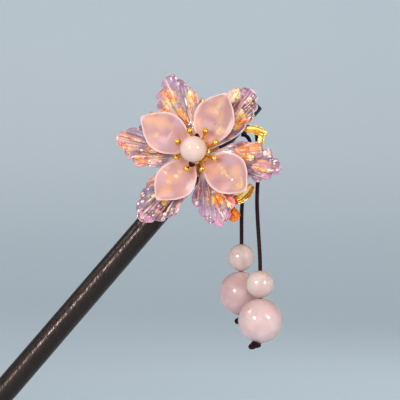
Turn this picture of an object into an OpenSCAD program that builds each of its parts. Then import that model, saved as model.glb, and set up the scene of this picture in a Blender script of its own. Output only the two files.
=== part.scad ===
// Hair stick with a glass flower and two bead tassels, in millimetres.
// The origin is the middle of the stick's grip. +Z is up, and the stick lies in the plane Y = 0.

/* [Stick] */
// Whole length of the stick
stick_length = 180; // [150:1:220]
// Diameter at the flat head end
head_d = 6.7; // [6:0.1:6.8]
// Largest diameter, part way down the stick
belly_d = 7.1; // [6.9:0.1:7.4]
// Distance from the head end to the largest diameter
belly_at = 110; // [90:1:130]
// Diameter just before the rounded point
point_d = 3.4; // [2.5:0.1:4.5]
// Angle of the stick above level
stick_tilt = 49.3; // [40:0.1:60]
// Distance from the head end to the middle of the grip
grip_at = 105; // [90:1:120]

/* [Flower] */
// Distance from the head end to the flower's axis
flower_at = 22.3; // [20:0.1:26]
// Roll of the flower about the stick, toward its upper side
flower_roll = 18; // [0:1:30]
// Diameter of the hidden pin that carries the flower
post_d = 2.4; // [2:0.1:2.6]
// Wall of the glass leaves
leaf_wall = 1.1; // [0.9:0.05:1.2]
// Wall of the frosted petals
frosted_wall = 1.1; // [0.9:0.05:1.2]
// Wall of the gold plate
gold_wall = 0.55; // [0.4:0.05:0.6]
// Depth of the leaves' scallops
scallop = 0.9; // [0:0.1:1]

/* [Beads] */
// Diameter of the centre bead
center_bead_d = 7.6; // [7:0.1:8]
// Diameter of the small hanging beads
small_bead_d = 8; // [7:0.1:8.2]
// Diameter of the large hanging beads
large_bead_d = 12.9; // [11:0.1:13]

/* [Cord] */
// Diameter of the hanging cords
cord_d = 1.1; // [0.9:0.05:1.2]
// Diameter of the centre bead's cord
center_cord_d = 0.9; // [0.7:0.05:0.95]

/* [Hidden] */
$fn = 48;

wood = "#1e1a1a";
gold = "#e8a83c";
lavender = "#b49bc0";
frosted_pink = "#e8bdbc";
quartz = "#ddbdbd";
dark_cord = "#2a1218";

// Running gap left between pieces that meet
gap = 0.1;
// Space for a cord inside a drilled bead
bore_play = 0.2;

// The flower's layers, as heights above the stick's axis
hub_z = 3.53;
crown_z = 7.9;
crown_wall = 0.7;
stamen_tip_z = 10.5;
center_bead_z = 12.6;

// The pin and its blind hole in the stick
post_foot_z = -0.35;
post_top_z = 7.8;

// Stamens: how many, where the first one points, and their sizes
stamen_count = 8;
stamen_turn = 15;
stamen_reach = 6;
stamen_foot = 3;
stamen_d = 0.7;
stamen_ball_d = 1.6;
crown_d = 7.2;
// The stamens stand a little toward the head of the stick
crown_shift = 0.45;

// Direction of the centre bead's bore, about the flower's axis
bore_turn = 30;

// The gold plate is pressed to a shallow dish, part of a ball of this radius
dish_r = 95;
dish_facets = 360;
// Outline of the gold plate, lobe by lobe, as turn and radius
gold_outline = [
    [340, 9.5], [346, 12.1], [358, 12.7], [10, 12.1], [17, 9.5], [22, 8.5],
    [27, 10.5], [30.5, 14.5], [33, 16.5], [38, 16.7], [43, 15.5],
    [50, 16.3], [60, 17], [70, 16.2], [76, 14.4], [79, 13.2],
    [82, 14.6], [85, 17.6], [88, 19.3], [92, 19.6], [95.5, 18.6], [96, 16], [96, 12], [99, 9],
    [103, 11.2], [106, 13.8], [112, 15.7], [119, 16.1], [126, 15.7], [132, 13.8], [136, 11], [145, 8.5],
    [160, 9], [165, 12], [171, 14.6], [180, 15.4], [189, 14.6], [195, 12], [200, 9], [208, 8.5],
    [220, 9.8], [224, 13], [229, 15.8], [235, 17.2], [241, 17.6],
    [246.5, 19], [249.5, 21.6], [252, 23.1], [255.5, 23.4], [258.3, 22.3], [258, 20.4],
    [257, 17], [259.5, 13.6], [265, 12.2], [271, 13.2],
    [273, 15.6], [266, 16.9], [260.8, 17.2], [259.2, 18.2], [260.8, 19.2], [268, 19.5], [276, 19.4],
    [281.5, 18.7], [286, 17.4],
    [292, 17.6], [298, 17.9], [304, 17.7], [309, 17.4],
    [314, 18.3], [318.5, 19.6], [323.5, 20.3], [328, 20.3], [331.5, 19.5], [335, 18.1], [339, 16.9],
    [340.6, 16], [338.5, 15.2], [334.5, 15.8], [330.5, 16.9], [326.5, 17.5], [322, 17.2], [318, 16],
    [316, 14], [316, 11.5], [322, 9], [331, 8.3]
];

// Each glass leaf: [turn, reach, height of its tip, half width on its left, on its right]
leaves = [
    [59.5, 25, 8.1, 6.9, 5],
    [-2.5, 24.1, 8.1, 6.2, 6.1],
    [-61.5, 25.1, 8.1, 6.2, 5.7],
    [-119, 22.8, 8.1, 5.6, 5.6],
    [181.5, 25.3, 8.1, 6.4, 5.7],
    [119.5, 24.6, 8.1, 6.6, 4.9]
];
leaf_foot = 1.5;
leaf_foot_z = 4.75;
leaf_cup = 1;
// Section rows of a leaf: [place along it, share of the half width]
leaf_widths = [
    [0, 0.11], [0.1, 0.25], [0.25, 0.5], [0.4, 0.77], [0.55, 0.97], [0.68, 1.04],
    [0.8, 0.91], [0.9, 0.64], [0.96, 0.38], [1, 0.1]
];
// Section rows of a leaf: [place along it, share of its rise]
leaf_rises = [[0, 0], [0.2, 0.06], [0.4, 0.18], [0.6, 0.42], [0.8, 0.72], [1, 1]];
leaf_lobes = 6;
leaf_stations = 30;
leaf_sides = 4;

// Each frosted petal: [turn, reach, height of its tip, half width on its left, on its right]
frosted_petals = [
    [98, 18.8, 12.3, 5.9, 5.9],
    [10.5, 18.7, 12.3, 6.3, 6.1],
    [-88, 20, 12.3, 6.6, 5.3],
    [-175, 17.7, 12.3, 6.2, 5.6]
];
frosted_foot = 1.5;
frosted_foot_z = 6.1;
frosted_cup = 1.9;
frosted_widths = [
    [0, 0.16], [0.1, 0.33], [0.25, 0.7], [0.4, 0.93], [0.52, 1], [0.65, 0.95],
    [0.8, 0.68], [0.9, 0.38], [0.96, 0.19], [1, 0.06]
];
frosted_rises = [[0, 0], [0.2, 0.12], [0.4, 0.25], [0.6, 0.42], [0.8, 0.66], [1, 1]];
frosted_stations = 16;
frosted_sides = 5;

// Turns of cord round the stick, as distances from the head end
wrap_turns = [6.8, 7.75, 8.7];

// Hanging cords, from the turns round the stick down to their knots
left_route = [
    [66.15, 1.6, 70.15], [66.8, 1.7, 69.7], [67.3, 1.8, 68.9], [67.4, 2, 67.6], [67.3, 2.2, 65],
    [66.8, 2.5, 61], [66.2, 2.9, 57], [65.6, 3.4, 53], [65.2, 3.8, 49], [65.1, 4.2, 45],
    [65.1, 4.5, 41.5], [65.1, 4.7, 38], [65, 4.8, 34], [64.9, 4.8, 29], [64.8, 4.8, 24],
    [64.7, 4.8, 19], [64.7, 4.8, 16.8]
];
left_small_z = 34;
left_large_z = 23.5;
right_route = [
    [66.95, -2.85, 71.55], [67.7, -3.15, 71.25], [68.5, -3.3, 70.8], [69.1, -3.45, 70],
    [69.3, -3.6, 69], [69.4, -3.8, 66], [69.5, -4, 62], [69.6, -4.2, 58], [69.4, -4.3, 54], [69.3, -4.4, 50],
    [69.5, -4.5, 45], [69.8, -4.6, 40], [70.1, -4.7, 35], [70.2, -4.7, 31], [70.2, -4.7, 27],
    [70.3, -4.7, 22], [70.3, -4.7, 16], [70.3, -4.7, 11], [70.2, -4.8, 9.6]
];
right_small_z = 26.7;
right_large_z = 16.2;
// Each end knot is a short barrel of tight turns: its middle, then how it dips and how it turns
left_knot = [[64.75, 4.7, 15.6], 0, 10];
right_knot = [[68.7, -6.1, 8.85], 0, 0];
knot_d = 2.1;
knot_length = 3.2;
tube_sides = 8;

// The centre bead's cord: [distance from the flower's axis, height], along the bore's direction
center_half = [
    [0, 12.6], [2, 12.6], [3.5, 12.6], [3.95, 12.5], [4.3, 12.2], [4.42, 11.7], [4.38, 11.1],
    [4.2, 10.4], [3.95, 9.7], [3.75, 9.2], [3.6, 8.86]
];

// Smooth reading of a table of [place, value] rows
function smooth(a, b, c, d, f) =
    b + f * (c - a) / 2 + f * f * (a - 2.5 * b + 2 * c - d / 2)
    + f * f * f * (1.5 * (b - c) + (d - a) / 2);
function row_before(table, t) = max([0, for (i = [0:len(table) - 2]) if (table[i][0] <= t) i]);
function reading(table, t) =
    let (i = row_before(table, t), last = len(table) - 1)
    let (f = (t - table[i][0]) / (table[i + 1][0] - table[i][0]))
    smooth(table[max(i - 1, 0)][1], table[i][1], table[i + 1][1], table[min(i + 2, last)][1], f);

// Places below are on the flower: X along the stick to its head, Z away from the stick
module on_flower() {
    along = grip_at - flower_at;
    translate([along * cos(stick_tilt), 0, along * sin(stick_tilt)])
        rotate([90 - flower_roll, -stick_tilt, 0])
            children();
}

// Places below are on the stick's axis: Z toward the head, zero at the middle of the grip
module on_stick() {
    rotate([0, 90 - stick_tilt, 0]) children();
}

// A closed skin over rings of points, with a fan at each end
module skin(rings) {
    n = len(rings[0]);
    m = len(rings);
    first = [for (k = [0:2]) vector_sum([for (p = rings[0]) p[k]]) / n];
    last = [for (k = [0:2]) vector_sum([for (p = rings[m - 1]) p[k]]) / n];
    sides = [
        for (i = [0:m - 2], j = [0:n - 1])
            let (a = i * n + j, b = i * n + (j + 1) % n)
            each [[a, a + n, b], [b, a + n, b + n]]
    ];
    fans = [
        for (j = [0:n - 1])
            let (k = (j + 1) % n, end = (m - 1) * n)
            each [[n * m, j, k], [n * m + 1, end + k, end + j]]
    ];
    polyhedron(points = concat([for (r = rings) each r], [first, last]), faces = concat(sides, fans));
}

function vector_sum(v) = v * [for (x = v) 1];

// One ring of a cupped petal: over its upper face and back along its lower face
function petal_ring(x, halves, height, cup, wall, sides) = [
    for (k = [-sides:sides]) petal_point(x, k / sides, halves, height, cup, wall / 2),
    for (k = [sides:-1:-sides]) petal_point(x, k / sides, halves, height, cup, -wall / 2)
];
function petal_point(x, u, halves, height, cup, side) =
    [x, u * halves[u > 0 ? 0 : 1], height + cup * u * u + side * (1 - 0.6 * pow(abs(u), 4))];

// How far the scallops cut into a leaf's edge
function scallop_cut(t) =
    scallop * min(1, 4 * t * t) * (1 - pow(t, 6)) * (1 - abs(sin(180 * leaf_lobes * t)));

module leaf_petal(row) {
    foot_to_tip = row[1] - leaf_foot;
    rotate([0, 0, row[0]])
        skin([
            for (i = [0:leaf_stations])
                let (t = i / leaf_stations)
                petal_ring(
                    leaf_foot + foot_to_tip * t,
                    [row[3], row[4]] * reading(leaf_widths, t) - scallop_cut(t) * [1, 1],
                    leaf_foot_z + (row[2] - leaf_foot_z) * reading(leaf_rises, t),
                    leaf_cup * sin(180 * min(t, 0.5)) * (1 - 0.6 * max(0, t - 0.5)),
                    leaf_wall * (t > 0.97 ? 0.7 : 1),
                    leaf_sides
                )
        ]);
}

module frosted_petal(row) {
    foot_to_tip = row[1] - frosted_foot;
    rotate([0, 0, row[0]])
        skin([
            for (i = [0:frosted_stations])
                let (t = i / frosted_stations)
                petal_ring(
                    frosted_foot + foot_to_tip * t,
                    [row[3], row[4]] * reading(frosted_widths, t),
                    frosted_foot_z + (row[2] - frosted_foot_z) * reading(frosted_rises, t),
                    frosted_cup * pow(sin(180 * pow(t, 0.8)), 0.8),
                    frosted_wall * (t > 0.97 ? 0.6 : 1),
                    frosted_sides
                )
        ]);
}

module leaf_at(i) {
    color(lavender) on_flower() leaf_petal(leaves[i - 1]);
}

module frosted_at(i) {
    color(frosted_pink) on_flower() frosted_petal(frosted_petals[i - 1]);
}

module stick() {
    tip_z = grip_at - stick_length;
    color(wood) difference() {
        on_stick()
            rotate_extrude()
                polygon([
                    [0, tip_z], [point_d * 0.28, tip_z + 0.3], [point_d * 0.42, tip_z + 1.1],
                    [point_d / 2, tip_z + 2.6], [belly_d / 2, grip_at - belly_at],
                    [head_d / 2, grip_at - 0.4], [head_d / 2 - 0.4, grip_at], [0, grip_at]
                ]);
        on_flower() translate([0, 0, post_foot_z - gap]) cylinder(d = post_d + 2 * gap, h = head_d);
    }
}

module flower_post() {
    color(gold) on_flower()
        translate([0, 0, post_foot_z]) cylinder(d = post_d, h = post_top_z - post_foot_z);
}

module gold_backing() {
    color(gold) on_flower() translate([0, 0, hub_z]) difference() {
        intersection() {
            translate([0, 0, dish_r]) difference() {
                sphere(r = dish_r, $fn = dish_facets);
                sphere(r = dish_r - gold_wall, $fn = dish_facets);
            }
            translate([0, 0, -1]) linear_extrude(height = 10)
                polygon([for (p = gold_outline) p[1] * [cos(p[0]), sin(p[0])]]);
        }
        translate([0, 0, -1]) cylinder(d = post_d + 2 * gap, h = 3);
    }
}

// A round rod between two points of the plane through the flower's axis
module rod(from, to, d) {
    run = to[0] - from[0];
    rise = to[1] - from[1];
    translate([from[0], 0, from[1]])
        rotate([0, atan2(run, rise), 0])
            cylinder(d = d, h = norm([run, rise]));
}

module stamen_crown() {
    color(gold) on_flower() translate([crown_shift, 0, 0]) {
        translate([0, 0, crown_z]) cylinder(d = crown_d, h = crown_wall);
        for (k = [0:stamen_count - 1])
            rotate([0, 0, stamen_turn + k * 360 / stamen_count]) {
                rod([stamen_foot, crown_z + crown_wall / 2], [stamen_reach, stamen_tip_z], stamen_d);
                translate([stamen_reach, 0, stamen_tip_z]) sphere(d = stamen_ball_d);
            }
    }
}

module center_bead() {
    bore = center_cord_d + 2 * bore_play;
    color(quartz) on_flower()
        translate([0, 0, center_bead_z]) rotate([0, 90, bore_turn])
            difference() {
                sphere(d = center_bead_d);
                cylinder(d = bore, h = center_bead_d + 1, center = true);
            }
}

// A round tube along a route, its rings square to the route
module tube(route, d) {
    n = len(route);
    skin([
        for (i = [0:n - 1])
            let (way = route[min(i + 1, n - 1)] - route[max(i - 1, 0)])
            let (t = way / norm(way))
            let (u = cross([0, 1, 0], t) / norm(cross([0, 1, 0], t)), v = cross(t, u))
            [
                for (j = [0:tube_sides - 1])
                    let (angle = -j * 360 / tube_sides)
                    route[i] + d / 2 * (cos(angle) * u + sin(angle) * v)
            ]
    ]);
}

module center_cord() {
    far = [for (p = center_half) [p[0], 0, p[1]]];
    near = [for (i = [len(center_half) - 1:-1:1]) [-center_half[i][0], 0, center_half[i][1]]];
    color(dark_cord) on_flower() rotate([0, 0, bore_turn]) tube(concat(near, far), center_cord_d);
}

module cord_wrap() {
    color(dark_cord) on_stick()
        for (at = wrap_turns)
            translate([0, 0, grip_at - at])
                rotate_extrude()
                    translate([head_d / 2 + gap + cord_d / 2, 0]) circle(d = cord_d, $fn = 24);
}

// Place of a route at a height, between the two points beside it
function on_route(route, z) =
    let (i = max([0, for (k = [0:len(route) - 2]) if (route[k][2] >= z) k]))
    let (f = (route[i][2] - z) / (route[i][2] - route[i + 1][2]))
    route[i] * (1 - f) + route[i + 1] * f;

module drilled_bead(route, z, d) {
    color(quartz) translate(on_route(route, z)) difference() {
        sphere(d = d);
        cylinder(d = cord_d + 2 * bore_play, h = d + 1, center = true);
    }
}

module end_knot(place) {
    half = knot_length / 2;
    color(dark_cord)
        translate(place[0]) rotate([0, 90 + place[1], place[2]])
            rotate_extrude()
                polygon([
                    [0, -half], [knot_d * 0.34, -half * 0.92], [knot_d / 2, -half * 0.45],
                    [knot_d / 2, half * 0.45], [knot_d * 0.34, half * 0.92], [0, half]
                ]);
}

module tassel_cord_left() { color(dark_cord) tube(left_route, cord_d); }
module small_bead_left() { drilled_bead(left_route, left_small_z, small_bead_d); }
module large_bead_left() { drilled_bead(left_route, left_large_z, large_bead_d); }
module knot_left() { end_knot(left_knot); }
module tassel_cord_right() { color(dark_cord) tube(right_route, cord_d); }
module small_bead_right() { drilled_bead(right_route, right_small_z, small_bead_d); }
module large_bead_right() { drilled_bead(right_route, right_large_z, large_bead_d); }
module knot_right() { end_knot(right_knot); }

stick();
flower_post();
gold_backing();
for (i = [1:len(leaves)])
    leaf_at(i);
for (i = [1:len(frosted_petals)])
    frosted_at(i);
stamen_crown();
center_bead();
center_cord();
cord_wrap();
tassel_cord_left();
small_bead_left();
large_bead_left();
knot_left();
tassel_cord_right();
small_bead_right();
large_bead_right();
knot_right();
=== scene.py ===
import math

import bpy
import numpy as np
from mathutils import Matrix, Vector


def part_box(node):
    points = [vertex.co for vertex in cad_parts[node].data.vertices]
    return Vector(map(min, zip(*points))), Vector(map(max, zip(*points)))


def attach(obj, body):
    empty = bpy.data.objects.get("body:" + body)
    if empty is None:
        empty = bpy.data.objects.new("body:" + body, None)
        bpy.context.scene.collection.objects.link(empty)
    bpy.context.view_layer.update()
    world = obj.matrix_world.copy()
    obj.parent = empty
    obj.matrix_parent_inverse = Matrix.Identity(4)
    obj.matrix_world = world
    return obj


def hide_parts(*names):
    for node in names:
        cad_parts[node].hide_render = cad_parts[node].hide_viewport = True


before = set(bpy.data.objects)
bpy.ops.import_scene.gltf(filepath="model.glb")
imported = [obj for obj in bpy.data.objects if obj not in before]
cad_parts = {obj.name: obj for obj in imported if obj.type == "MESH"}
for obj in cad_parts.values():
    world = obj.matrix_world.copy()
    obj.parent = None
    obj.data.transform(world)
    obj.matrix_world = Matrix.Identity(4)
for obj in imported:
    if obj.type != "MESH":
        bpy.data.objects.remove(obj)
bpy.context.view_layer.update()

MM = 0.001


# The studio: a long lens looks level at the flower from the front.
# Two small soft boxes and a faint fill stand in front, one grazes the stick from the left, a wide
# one hangs overhead, and one glows behind the glass.
bpy.ops.object.camera_add(location=(0.0529, -0.436, 0.0509), rotation=(math.radians(90), 0, 0))
camera = bpy.context.object
camera.data.lens = 135
camera.data.sensor_width = 36
camera.data.clip_start = 0.01
bpy.context.scene.camera = camera
bpy.context.scene.view_settings.view_transform = "Standard"


def soft_box(name, azimuth, elevation, distance, size, watts, colour, mirrored=True, spread=180):
    """A rectangular light that faces the flower from a compass angle and a height."""
    flower_middle = Vector((0.054, -0.006, 0.063))
    a, e = math.radians(azimuth), math.radians(elevation)
    away = Vector((math.sin(a) * math.cos(e), -math.cos(a) * math.cos(e), math.sin(e)))
    turn = away.to_track_quat("Z", "Y").to_euler()
    bpy.ops.object.light_add(type="AREA", location=flower_middle + distance * away, rotation=turn)
    light = bpy.context.object
    light.name = name
    light.data.shape = "RECTANGLE"
    light.data.size, light.data.size_y = size
    light.data.energy = watts
    light.data.color = colour
    light.data.spread = math.radians(spread)
    light.visible_glossy = mirrored
    light.visible_camera = False


warm_white = (1, 0.96, 0.93)
soft_box("left_box", -33, 14, 0.75, (0.11, 0.11), 2.5, warm_white)
soft_box("edge_box", -78, 40, 0.8, (0.22, 0.22), 0.85, warm_white)
soft_box("right_box", 40, 16, 0.75, (0.11, 0.11), 2.0, (1, 0.97, 0.95))
soft_box("front_fill", 4, 12, 1.1, (0.6, 0.4), 0.4, warm_white, mirrored=False, spread=50)
soft_box("overhead_box", -10, 80, 0.9, (0.9, 0.7), 1.3, (1, 0.98, 0.97))
soft_box("rear_box", 160, 30, 0.8, (0.5, 0.4), 1.4, (0.97, 0.98, 1), mirrored=False)

world = bpy.data.worlds.new("studio_air")
bpy.context.scene.world = world
world.use_nodes = True
world.node_tree.nodes["Background"].inputs["Color"].default_value = (0.92, 0.95, 1, 1)
world.node_tree.nodes["Background"].inputs["Strength"].default_value = 0.2


def into_mesh():
    """Opens the active piece in edit mode with its whole mesh selected."""
    bpy.ops.object.mode_set(mode="EDIT")
    bpy.ops.mesh.select_all(action="SELECT")


def out_of_mesh(inside=False):
    """Turns all faces outwards, or inwards where asked, and leaves edit mode."""
    bpy.ops.mesh.select_all(action="SELECT")
    bpy.ops.mesh.normals_make_consistent(inside=inside)
    bpy.ops.object.mode_set(mode="OBJECT")


def pull_up(rise, growth, middle=(0, 0, 0)):
    """Extrudes the selected face straight up and scales it about the middle."""
    bpy.ops.mesh.extrude_region_move(TRANSFORM_OT_translate={"value": (0, 0, rise)})
    bpy.ops.transform.resize(value=(growth, growth, 1), center_override=middle)


# The floor is one pale sweep that curves up all round, so no edge shows from any side.
floor_x, floor_z = 0.05, -0.075
sweep = [(0.01, 0), (0.8, 0), (1.2, 0.015), (1.5, 0.07), (1.75, 0.2), (1.9, 0.42), (1.95, 0.7)]
bpy.ops.object.select_all(action="DESELECT")
bpy.ops.mesh.primitive_circle_add(vertices=96, radius=sweep[0][0], location=(floor_x, 0, floor_z))
floor = bpy.context.object
floor.name = "floor_sweep"
into_mesh()
bpy.ops.mesh.edge_face_add()
for (r_in, z_in), (r_out, z_out) in zip(sweep, sweep[1:]):
    pull_up(z_out - z_in, r_out / r_in, (floor_x, 0, 0))
bpy.ops.mesh.delete(type="ONLY_FACE")
out_of_mesh(inside=True)
bpy.ops.object.shade_smooth()


def new_finish(name):
    """A new material, its node tree, its principled shader and the place on the piece."""
    finish = bpy.data.materials.new(name)
    finish.use_nodes = True
    tree = finish.node_tree
    at = add(tree, "TexCoord", {}).outputs["Object"]
    return finish, tree, tree.nodes["Principled BSDF"], at


def linear(code):
    """A colour code such as #E8A83C as linear red, green, blue and alpha."""
    parts = [int(code[i : i + 2], 16) / 255 for i in (1, 3, 5)]
    return [c / 12.92 if c < 0.04045 else ((c + 0.055) / 1.055) ** 2.4 for c in parts] + [1]


def plug(tree, socket, value):
    """Sets a socket to a number, a colour code or another socket."""
    if isinstance(value, bpy.types.NodeSocket):
        tree.links.new(value, socket)
    elif isinstance(value, str):
        socket.default_value = linear(value)
    elif socket.type == "RGBA" and not hasattr(value, "__len__"):
        socket.default_value = (value, value, value, 1)
    else:
        socket.default_value = value


def dress(tree, node, values):
    """Fills a node's sockets by name or number."""
    for key, value in values.items():
        plug(tree, node.inputs[key], value)


def add(tree, kind, values, **settings):
    """A shader node with its settings made and its sockets filled."""
    made = tree.nodes.new("ShaderNode" + kind)
    for key, value in settings.items():
        setattr(made, key, value)
    dress(tree, made, values)
    return made


def figure(tree, operation, *values):
    """One step of arithmetic on numbers or sockets."""
    return add(tree, "Math", dict(enumerate(values)), operation=operation).outputs[0]


def times(tree, first, second):
    """The product of two numbers or sockets."""
    return figure(tree, "MULTIPLY", first, second)


def vector(tree, operation, *values):
    """One step of arithmetic on vectors, as the node's two outputs."""
    return add(tree, "VectorMath", dict(enumerate(values)), operation=operation).outputs


def split(tree, place):
    """The X, Y and Z of a vector."""
    return add(tree, "SeparateXYZ", {"Vector": place}).outputs


def fade(tree, value, start, end, low=0.0, high=1.0):
    """A smooth step from low to high as the value goes from start to end."""
    steps = {0: value, 1: start, 2: end, 3: low, 4: high}
    return add(tree, "MapRange", steps, interpolation_type="SMOOTHSTEP").outputs[0]


def blend(tree, share, first, second, way="MIX"):
    """The second colour laid over the first by a share."""
    made = add(tree, "Mix", {0: share, 6: first, 7: second}, data_type="RGBA", blend_type=way)
    return made.outputs[2]


def clouds(tree, place, scale, detail=4, rough=0.55, twist=0.0, stretch=None, turn=(0, 0, 0)):
    """Soft noise from 0 to 1 at a place, stretched and turned where asked."""
    if stretch:
        stretched = {"Vector": place, "Scale": stretch, "Rotation": turn}
        place = add(tree, "Mapping", stretched).outputs["Vector"]
    return add(tree, "TexNoise", {"Vector": place, "Scale": scale, "Detail": detail,
                                  "Roughness": rough, "Distortion": twist}).outputs["Fac"]


matt_sweep, tree, shader, at = new_finish("matt_sweep")
parts = split(tree, at)
front = fade(tree, parts["Y"], -0.5, -1.5, 0.0, 0.3)
far = vector(tree, "LENGTH", vector(tree, "MULTIPLY", at, (1, 1, 0))[0])["Value"]
pale = blend(tree, fade(tree, parts["Z"], floor_z, 0.25), "#BCCCD6", "#E8F0F5")
dress(tree, shader, {
    "Base Color": blend(tree, times(tree, clouds(tree, at, 3, 2), 0.3), pale, "#CCD9E1"),
    "Roughness": 0.9,
    "Specular IOR Level": 0.1,
    "Emission Color": "#DCE8F0",
    "Emission Strength": figure(tree, "ADD", fade(tree, far, 0.15, 1.1, 0.05, 0.24), front),
})
floor.data.materials.append(matt_sweep)


# The hanging cords: two lengths of fine dark silk braid, tied to the turns of cord round the
# stick, that run down through the drilled beads and end in a tight knot under each pair.
cord_d = 1.1
left_route = [
    (64.9, 1.4, 69.9), (65.9, 1.5, 69.85), (66.7, 1.65, 69.3), (67.25, 1.8, 68.5),
    (67.45, 2, 67.4), (67.3, 2.2, 65), (66.8, 2.5, 61), (66.2, 2.9, 57), (65.6, 3.4, 53),
    (65.2, 3.8, 49), (65.1, 4.2, 45), (65.1, 4.5, 41.5), (65.1, 4.7, 38), (65, 4.8, 34),
    (64.9, 4.8, 29), (64.8, 4.8, 24), (64.7, 4.8, 19), (64.7, 4.8, 16.8),
]
right_route = [
    (66.95, -2.85, 71.55), (67.7, -3.15, 71.25), (68.5, -3.3, 70.8), (69.1, -3.45, 70),
    (69.3, -3.6, 69), (69.4, -3.8, 66), (69.5, -4, 62), (69.6, -4.2, 58), (69.4, -4.3, 54),
    (69.3, -4.4, 50), (69.5, -4.5, 45), (69.8, -4.6, 40), (70.1, -4.7, 35), (70.2, -4.7, 31),
    (70.2, -4.7, 27), (70.3, -4.7, 22), (70.3, -4.7, 16), (70.3, -4.7, 11), (70.2, -4.8, 9.6),
]
braid_strands = 3
strand_lean, strand_rise, crossing = 2.9, 0.86, 0.14
core_share, strand_share = 0.92, 0.13
knot_share = 0.86


def between(a, b, c, d, f):
    """A smooth curve from b to c as f goes from 0 to 1, with a before them and d after them."""
    bent = b + f * (c - a) / 2 + f * f * (a - 2.5 * b + 2 * c - d / 2)
    return bent + f**3 * (1.5 * (b - c) + (d - a) / 2)


def distance_along(points):
    """How far each point is from the first one, along the line through them."""
    return np.concatenate([[0], np.cumsum(np.linalg.norm(np.diff(points, axis=0), axis=1))])


def smooth_path(points, step):
    """Points along a smooth curve through the given ones, a step of millimetres apart."""
    p = np.array(points, float)
    p = np.vstack([2 * p[0] - p[1], p, 2 * p[-1] - p[-2]])
    rows = []
    for a, b, c, d in zip(p, p[1:], p[2:], p[3:]):
        rows.extend(between(a, b, c, d, f) for f in np.linspace(0, 1, 24, endpoint=False))
    rows = np.array(rows + [p[-2]])
    run = distance_along(rows)
    places = np.linspace(0, run[-1], max(2, int(run[-1] / step) + 1))
    return np.column_stack([np.interp(places, run, rows[:, k]) for k in range(3)]), places


def spin(angle, axis):
    """A turn about the x, y or z axis (0, 1 or 2) as a matrix."""
    i, j = (axis + 1) % 3, (axis + 2) % 3
    turn = np.eye(3)
    turn[i, i] = turn[j, j] = math.cos(angle)
    turn[j, i] = math.sin(angle)
    turn[i, j] = -turn[j, i]
    return turn


def hold(piece):
    """Selects one piece alone and makes it the active one."""
    bpy.ops.object.select_all(action="DESELECT")
    piece.select_set(True)
    bpy.context.view_layer.objects.active = piece


def braid(name, points, d, sides=30, step=0.15, closed=False):
    """A braided cord as one closed skin round a path in millimetres."""
    path, run = smooth_path(points, step)
    n = len(path)
    way = np.gradient(path, axis=0)
    if closed:
        way[0] = way[-1] = path[1] - path[-2]
    way /= np.linalg.norm(way, axis=1)[:, None]
    side = np.cross(way[0], (0.3, 1, 0.2))
    around = np.arange(sides) * 2 * math.pi / sides
    verts = []
    for centre, t, place in zip(path, way, run):
        side = side - t * np.dot(side, t)
        side /= np.linalg.norm(side)
        lean = place * strand_lean / d
        one, two = braid_strands * around + lean, braid_strands * around - lean
        over = np.where(np.sin(one) * np.sin(two) > 0, crossing, -crossing)
        height = np.maximum(np.abs(np.cos(one)) * (strand_rise + over),
                            np.abs(np.cos(two)) * (strand_rise - over))
        r = d / 2 * (core_share + strand_share * height)
        if not closed:
            r = r * min(1, 0.75 + min(place, run[-1] - place))
        ring = np.cos(around)[:, None] * side + np.sin(around)[:, None] * np.cross(t, side)
        verts.extend(centre + r[:, None] * ring)
    last, shift = n * sides - sides, 0
    if closed:
        shift = int(np.argmin(np.linalg.norm(np.array(verts[:sides]) - verts[last], axis=1)))
        verts = verts[:last]
    faces, strand = [], []
    for i in range(n - 1):
        for j in range(sides):
            k = (j + 1) % sides
            ahead = [(i + 1) * sides + k, (i + 1) * sides + j]
            if closed and i == n - 2:
                ahead = [(k + shift) % sides, (j + shift) % sides]
            faces.append((i * sides + j, i * sides + k, *ahead))
            a, b = j / sides, (j + 1) / sides
            strand.extend([(a, run[i]), (b, run[i]), (b, run[i + 1]), (a, run[i + 1])])
    if not closed:
        faces += [tuple(range(sides))[::-1], tuple(range(last, last + sides))]
        strand.extend([(0.5, 0)] * sides + [(0.5, run[-1])] * sides)
    mesh = bpy.data.meshes.new(name)
    mesh.from_pydata([tuple(v * MM) for v in verts], [], faces)
    mesh.uv_layers.new(name="strand").data.foreach_set("uv", [x for uv in strand for x in uv])
    piece = bpy.data.objects.new(name, mesh)
    bpy.context.collection.objects.link(piece)
    hold(piece)
    into_mesh()
    bpy.ops.mesh.remove_doubles(threshold=1e-7)
    out_of_mesh()
    bpy.ops.object.shade_smooth_by_angle(angle=math.radians(60))
    return piece, [tuple(p * MM) for p in path], run[-1] * MM


def tight_knot(name, middle, size, turn):
    """An overhand knot pulled tight, from the same braid."""
    t = np.linspace(0, 2 * math.pi, 61)
    loops = np.column_stack([
        size[0] * (np.sin(t) + 2 * np.sin(2 * t)) / 3,
        -size[1] * np.sin(3 * t),
        size[2] * (np.cos(t) - 2 * np.cos(2 * t)) / 3,
    ])
    points = loops @ spin(math.radians(turn), 1).T + middle
    return braid(name, points, cord_d * knot_share, sides=24, step=0.1, closed=True)[0]


def ramp(tree, value, stops):
    """A colour ramp over a value; each stop is a place and a colour code."""
    made = add(tree, "ValToRGB", {"Fac": value})
    elements = made.color_ramp.elements
    while len(elements) < len(stops):
        elements.new(1)
    for element, (place, code) in zip(elements, stops):
        element.position = place
        element.color = linear(code)
    return made.outputs["Color"]


def relief(tree, height, depth, strength, under=None):
    """A bump of a depth in metres, over another one where given."""
    made = add(tree, "Bump", {"Height": height, "Distance": depth, "Strength": strength})
    if under is not None:
        plug(tree, made.inputs["Normal"], under)
    return made.outputs["Normal"]


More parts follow.
